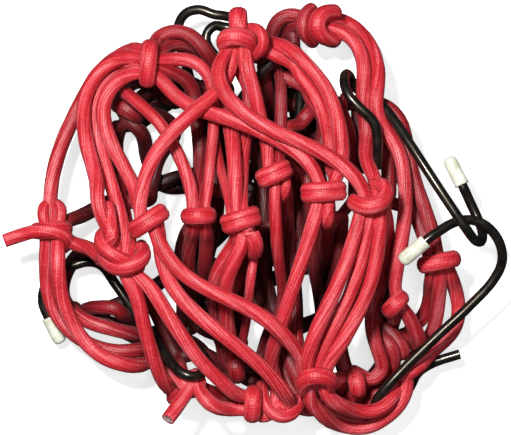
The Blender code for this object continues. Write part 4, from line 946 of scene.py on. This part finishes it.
def sweep(name, line, sides, half_depth, half_width, closed=False, twist=0.0, groove=0.0):
    """A ribbed tube along a line. Its map runs once around, and along the cord in girths.

    A groove along its outer face makes it read as a cord that goes round twice.
    """
    tangents = directions(line, closed)
    run = run_along(line)
    angle = np.arange(SHEATH_SIDES) * 2 * math.pi / SHEATH_SIDES
    ribs = 1 + RIB_DEPTH / CORD_R * np.cos(angle * RIBS)
    rib_turns = 0.0 if groove else 2 * math.pi / RIB_TURN_LENGTH
    turned = angle[None] + (twist + run * rib_turns)[:, None]
    from_face = np.angle(np.exp(1j * turned))
    ribs = ribs * (1 - groove * np.exp(-(from_face / GROOVE_REACH) ** 2))
    depth, width = [np.broadcast_to(np.asarray(half, float), len(line))[:, None]
        for half in (half_depth, half_width)]
    across = (np.cos(turned) * depth * ribs)[..., None] * sides[:, None]
    across = across + (np.sin(turned) * width * ribs)[..., None] * np.cross(tangents, sides)[:, None]
    points = (line[:, None] + across).reshape(-1, 3)
    points[:, 2] = np.maximum(points[:, 2], 0)

    rows = len(line)
    spans = rows if closed else rows - 1
    here = np.arange(spans)[:, None] * SHEATH_SIDES
    onward = ((np.arange(spans) + 1) % rows)[:, None] * SHEATH_SIDES
    left = np.arange(SHEATH_SIDES)[None]
    right = (left + 1) % SHEATH_SIDES
    faces = np.stack([here + left, here + right, onward + right, onward + left], axis=-1).reshape(-1, 4)
    start_face = list(range(SHEATH_SIDES))[::-1]
    end_face = list(range((rows - 1) * SHEATH_SIDES, rows * SHEATH_SIDES))
    mesh = bpy.data.meshes.new(name)
    mesh.from_pydata(points.tolist(), [], faces.tolist() + ([] if closed else [start_face, end_face]))

    run = np.append(run, run[-1] + np.linalg.norm(line[0] - line[-1]))[:spans + 1] / GIRTH
    u = np.stack([left, left + 1, left + 1, left], axis=-1) / SHEATH_SIDES
    v = np.stack([run[:-1], run[:-1], run[1:], run[1:]], axis=-1)[:, None]
    uv = np.stack(np.broadcast_arrays(u, v), axis=-1).reshape(-1, 2)
    flat = np.zeros((len(mesh.loops), 2), np.float32)
    flat[:len(uv)] = uv
    mesh.uv_layers.new(name="along_cord").data.foreach_set("uv", flat.ravel())
    mesh.shade_smooth()
    return mesh


def linked(name, data):
    """A new object in the scene, at the origin."""
    thing = bpy.data.objects.new(name, data)
    bpy.context.scene.collection.objects.link(thing)
    return thing


def made_mesh(piece):
    """A wire's curve or a cap's turned outline, made a smooth mesh."""
    bpy.ops.object.select_all(action="DESELECT")
    piece.select_set(True)
    bpy.context.view_layer.objects.active = piece
    bpy.ops.object.convert(target="MESH")
    piece.data.shade_smooth()
    return piece


def add_piece(piece, finish, node):
    piece.data.materials.append(finish)
    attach(piece, "root")
    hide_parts(node)


# ---------------------------------------------------------------------------
# Cords and knots.

def cord_radius(name, run):
    """The radius along a cord, where run goes from 0 at its start to 1 at its end."""
    first, last = THICKNESS.get(name, (1.0, 1.0))
    return SHEATH_R * (first + (last - first) * run)


def add_cord(name, line, finish, number):
    """One run of cord between two knots, drawn in a little where a knot grips it."""
    fine = smooth_line(line, FINE_STEP)
    run = np.linspace(0, 1, len(fine))
    to_end = np.minimum(run, 1 - run) * len(fine) * FINE_STEP
    grip = 1 - GRIP * np.exp(-((to_end - KNOT_ZONE / 2) / GRIP_LENGTH) ** 2)
    swell = 1 + SWELL * np.sin(run * len(fine) * FINE_STEP / SWELL_LENGTH + number * SWELL_SHIFT)
    rounded = np.sqrt(np.clip(1 - (1 - np.minimum(to_end / END_LENGTH, 1)) ** 2, END_BLUNTNESS, 1))
    radius = cord_radius(name, run) * grip * swell * rounded
    sides = carried_sides(directions(fine, False))
    mesh = sweep(name, fine, sides, radius, radius, twist=number * TURN_SHIFT)
    add_piece(linked("cord_" + name, mesh), finish, "net")


def add_ring(name, finish):
    """The wrap of a plain knot, flattened on the cords that it holds."""
    closed = smooth_ring(ring_points(name))
    sides = facing_sides(closed, directions(closed, True), knot_centre(name))
    width, groove = TWICE_ROUND.get(name, (WRAP_HALF_WIDTH, 0.0))
    mesh = sweep(name, closed, sides, WRAP_HALF_DEPTH, width, closed=True, groove=groove)
    add_piece(linked("wrap_" + name, mesh), finish, "net")


def add_loop(name, row, finish, core):
    """A wrap that isn't a plain turn, flattened where it bears on its cords, or a loose end."""
    fine = smooth_line(straightened(loop_line(row)), FINE_STEP)
    tangents = directions(fine, False)
    if name in CUT_FACES:
        sides = carried_sides(tangents)
        width = depth = cord_radius(name, np.linspace(0, 1, len(fine)))
    else:
        sides = facing_sides(fine, tangents, knot_centre(row.knot))
        width, depth = [size * MM for size in BAND_SIZES.get(name, USUAL_BAND)]
    mesh = sweep(name, fine, sides, depth, width)
    add_piece(linked(name, mesh), finish, "net")
    if name in CUT_FACES:
        cut_end(mesh, core, CUT_FACES[name])


def cut_end(mesh, core, number):
    """The cut face of a cord: a rim of sheath round the pale threads."""
    mesh.materials.append(core)
    shaped = bmesh.new()
    shaped.from_mesh(mesh)
    shaped.faces.ensure_lookup_table()
    face = shaped.faces[number]
    bmesh.ops.inset_region(shaped, faces=[face], thickness=CUT_RIM, depth=-CUT_DEPTH)
    face.material_index = 1
    shaped.to_mesh(mesh)
    shaped.free()


# ---------------------------------------------------------------------------
# Hooks.

def add_wire(name, closed_end, open_end, line, finish):
    """A hook's round wire, from inside its cap to its eye."""
    inwards = closed_end - open_end
    depth = np.linalg.norm(inwards) - CAP_END - FIT_GAP
    in_cap = open_end + unit(inwards) * depth
    fine = smooth_line(np.vstack([in_cap, smooth_line(line, 2 * WIRE_STEP)]), WIRE_STEP)
    curve = bpy.data.curves.new(name, "CURVE")
    curve.dimensions = "3D"
    curve.bevel_depth = WIRE_R
    curve.bevel_resolution = WIRE_ROUNDNESS
    curve.use_fill_caps = True
    spline = curve.splines.new("POLY")
    spline.points.add(len(fine) - 1)
    for point, position in zip(spline.points, fine):
        point.co = (*position, 1)
    add_piece(made_mesh(linked(name + "_wire", curve)), finish, name)


def add_cap(name, closed_end, open_end, finish):
    """A turned cap over the wire's end: a lip at its mouth, a slight taper and a rounded end."""
    length = np.linalg.norm(open_end - closed_end)
    profile = [(share * CAP_R, length - down * MM) for share, down in CAP_TIP]
    profile += [(share * CAP_R, up * MM) for share, up in CAP_LIP]
    profile += [(share * WIRE_R, up * MM) for share, up in CAP_BORE]
    mesh = bpy.data.meshes.new(name)
    mesh.from_pydata([(x, 0, z) for x, z in profile], [(i, i + 1) for i in range(len(profile) - 1)], [])
    cap = linked(name + "_cap", mesh)
    turned = cap.modifiers.new("turned", "SCREW")
    turned.steps = turned.render_steps = CAP_TURNS
    turned.use_merge_vertices = True
    turned.merge_threshold = MERGE_REACH
    made_mesh(cap)
    turn = Vector(closed_end - open_end).to_track_quat("Z", "Y").to_matrix().to_4x4()
    cap.data.transform(Matrix.Translation(Vector(open_end)) @ turn)
    add_piece(cap, finish, name)


# ---------------------------------------------------------------------------
# Stage.

def add_floor():
    """A pale floor that glows a little, so that it stays white under the bundle."""
    bpy.ops.object.select_all(action="DESELECT")
    bpy.ops.mesh.primitive_plane_add(size=FLOOR_SIZE, location=(0, 0, 0))
    floor = bpy.context.object
    floor.name = "floor"
    finish = Finish("pale_floor")
    grain = finish.noise(finish.on_piece(), 40.0, detail=3.0)
    finish.set(base_color=finish.ramp(grain, [(0.3, (0.78, 0.78, 0.78)), (0.7, (0.82, 0.82, 0.82))]),
        roughness=0.9, specular_ior_level=0.1, emission_color=(1, 1, 1, 1), emission_strength=FLOOR_GLOW)
    floor.data.materials.append(finish.material)
    floor.visible_diffuse = False
    floor.visible_glossy = False


def add_lamp(name, row):
    light = bpy.data.lights.new(name, "AREA")
    light.shape = "DISK"
    light.size = row.size
    light.energy = row.power
    light.color = row.colour
    lamp = linked(name, light)
    lamp.location = row.place
    lamp.visible_glossy = row.glints
    lamp.rotation_mode = "QUATERNION"
    lamp.rotation_quaternion = (-Vector(row.place)).to_track_quat("-Z", "Y")


def add_room():
    world = bpy.data.worlds.new("studio")
    world.use_nodes = True
    background = world.node_tree.nodes["Background"]
    background.inputs["Color"].default_value = (1, 1, 1, 1)
    background.inputs["Strength"].default_value = ROOM_GLOW
    bpy.context.scene.world = world
    bpy.context.scene.view_settings.view_transform = "Standard"


def add_camera():
    """Straight above the bundle, far enough off that near and far cords keep their size."""
    lens = bpy.data.cameras.new("camera")
    lens.sensor_width = SENSOR_WIDTH
    lens.lens = SENSOR_WIDTH * (CAMERA_HEIGHT - FOCUS_HEIGHT) / (SHEET_SIZE[0] * SQUARE)
    lens.clip_end = FAR_CLIP
    camera = linked("camera", lens)
    camera.location = place(SHEET_SIZE[0] / 2, SHEET_SIZE[1] / 2, CAMERA_HEIGHT)
    bpy.context.scene.camera = camera


# ---------------------------------------------------------------------------
# The bundle.

bright = sheath_finish("red_woven_sheath", 1.0)
# A copy of the sheath darkened with painted shade, for the cords and loops listed for it.
shaded_sheath = sheath_finish("red_woven_sheath_shaded", SHADED_COLOUR)
core = core_finish()
wire = wire_finish()
cap = cap_finish()

blocks = []
for name, bends in HOOKS.items():
    closed_end, open_end, line = hook_line(bends)
    add_wire(name, closed_end, open_end, line, wire)
    add_cap(name.replace("hook", "sleeve"), closed_end, open_end, cap)
    blocks.append((line, WIRE_GAP, NO_KNOT))
    blocks.append((smooth_line([closed_end, open_end], LINE_STEP), CAP_GAP, NO_KNOT))
for row in LOOPS.values():
    blocks.append((loop_line(row), CORD_GAP, row.knot))
for name in KNOTS:
    blocks.append((ring_points(name), CORD_GAP, name))
    blocks.append((knot_centre(name)[None], CORD_GAP, name))

rows = [*STRANDS.values()] + [HELD_BY_NONE] * len(INNER)
lines = [strand_line(row) for row in STRANDS.values()]
lines += [smooth_line([at_level(*via) for via in vias], LINE_STEP) for vias in INNER.values()]
eased = ease_apart(lines, rows, blocks)
outer = np.vstack(eased[:len(STRANDS)])
for number, (name, line) in enumerate(zip([*STRANDS, *INNER], eased)):
    whole = past_middle(line) if name in STRANDS else tucked_in(line, outer)
    add_cord(name, whole, shaded_sheath if name in SHADED_CORDS else bright, number)
for name in KNOTS:
    if name + "_band" not in LOOPS:
        add_ring(name, bright)
for name, row in LOOPS.items():
    add_loop(name, row, shaded_sheath if name in SHADED_CORDS else bright, core)

add_floor()
for name, row in LAMPS.items():
    add_lamp(name, row)
for number, turn in enumerate(SIDE_TURNS):
    heading = math.radians(turn)
    spot = (SIDE_DISTANCE * math.cos(heading), SIDE_DISTANCE * math.sin(heading), SIDE_HEIGHT)
    add_lamp(f"side_{number}", Lamp(spot, SIDE_SIZE, SIDE_POWER, (1.0, 1.0, 1.0), False))
add_room()
add_camera()
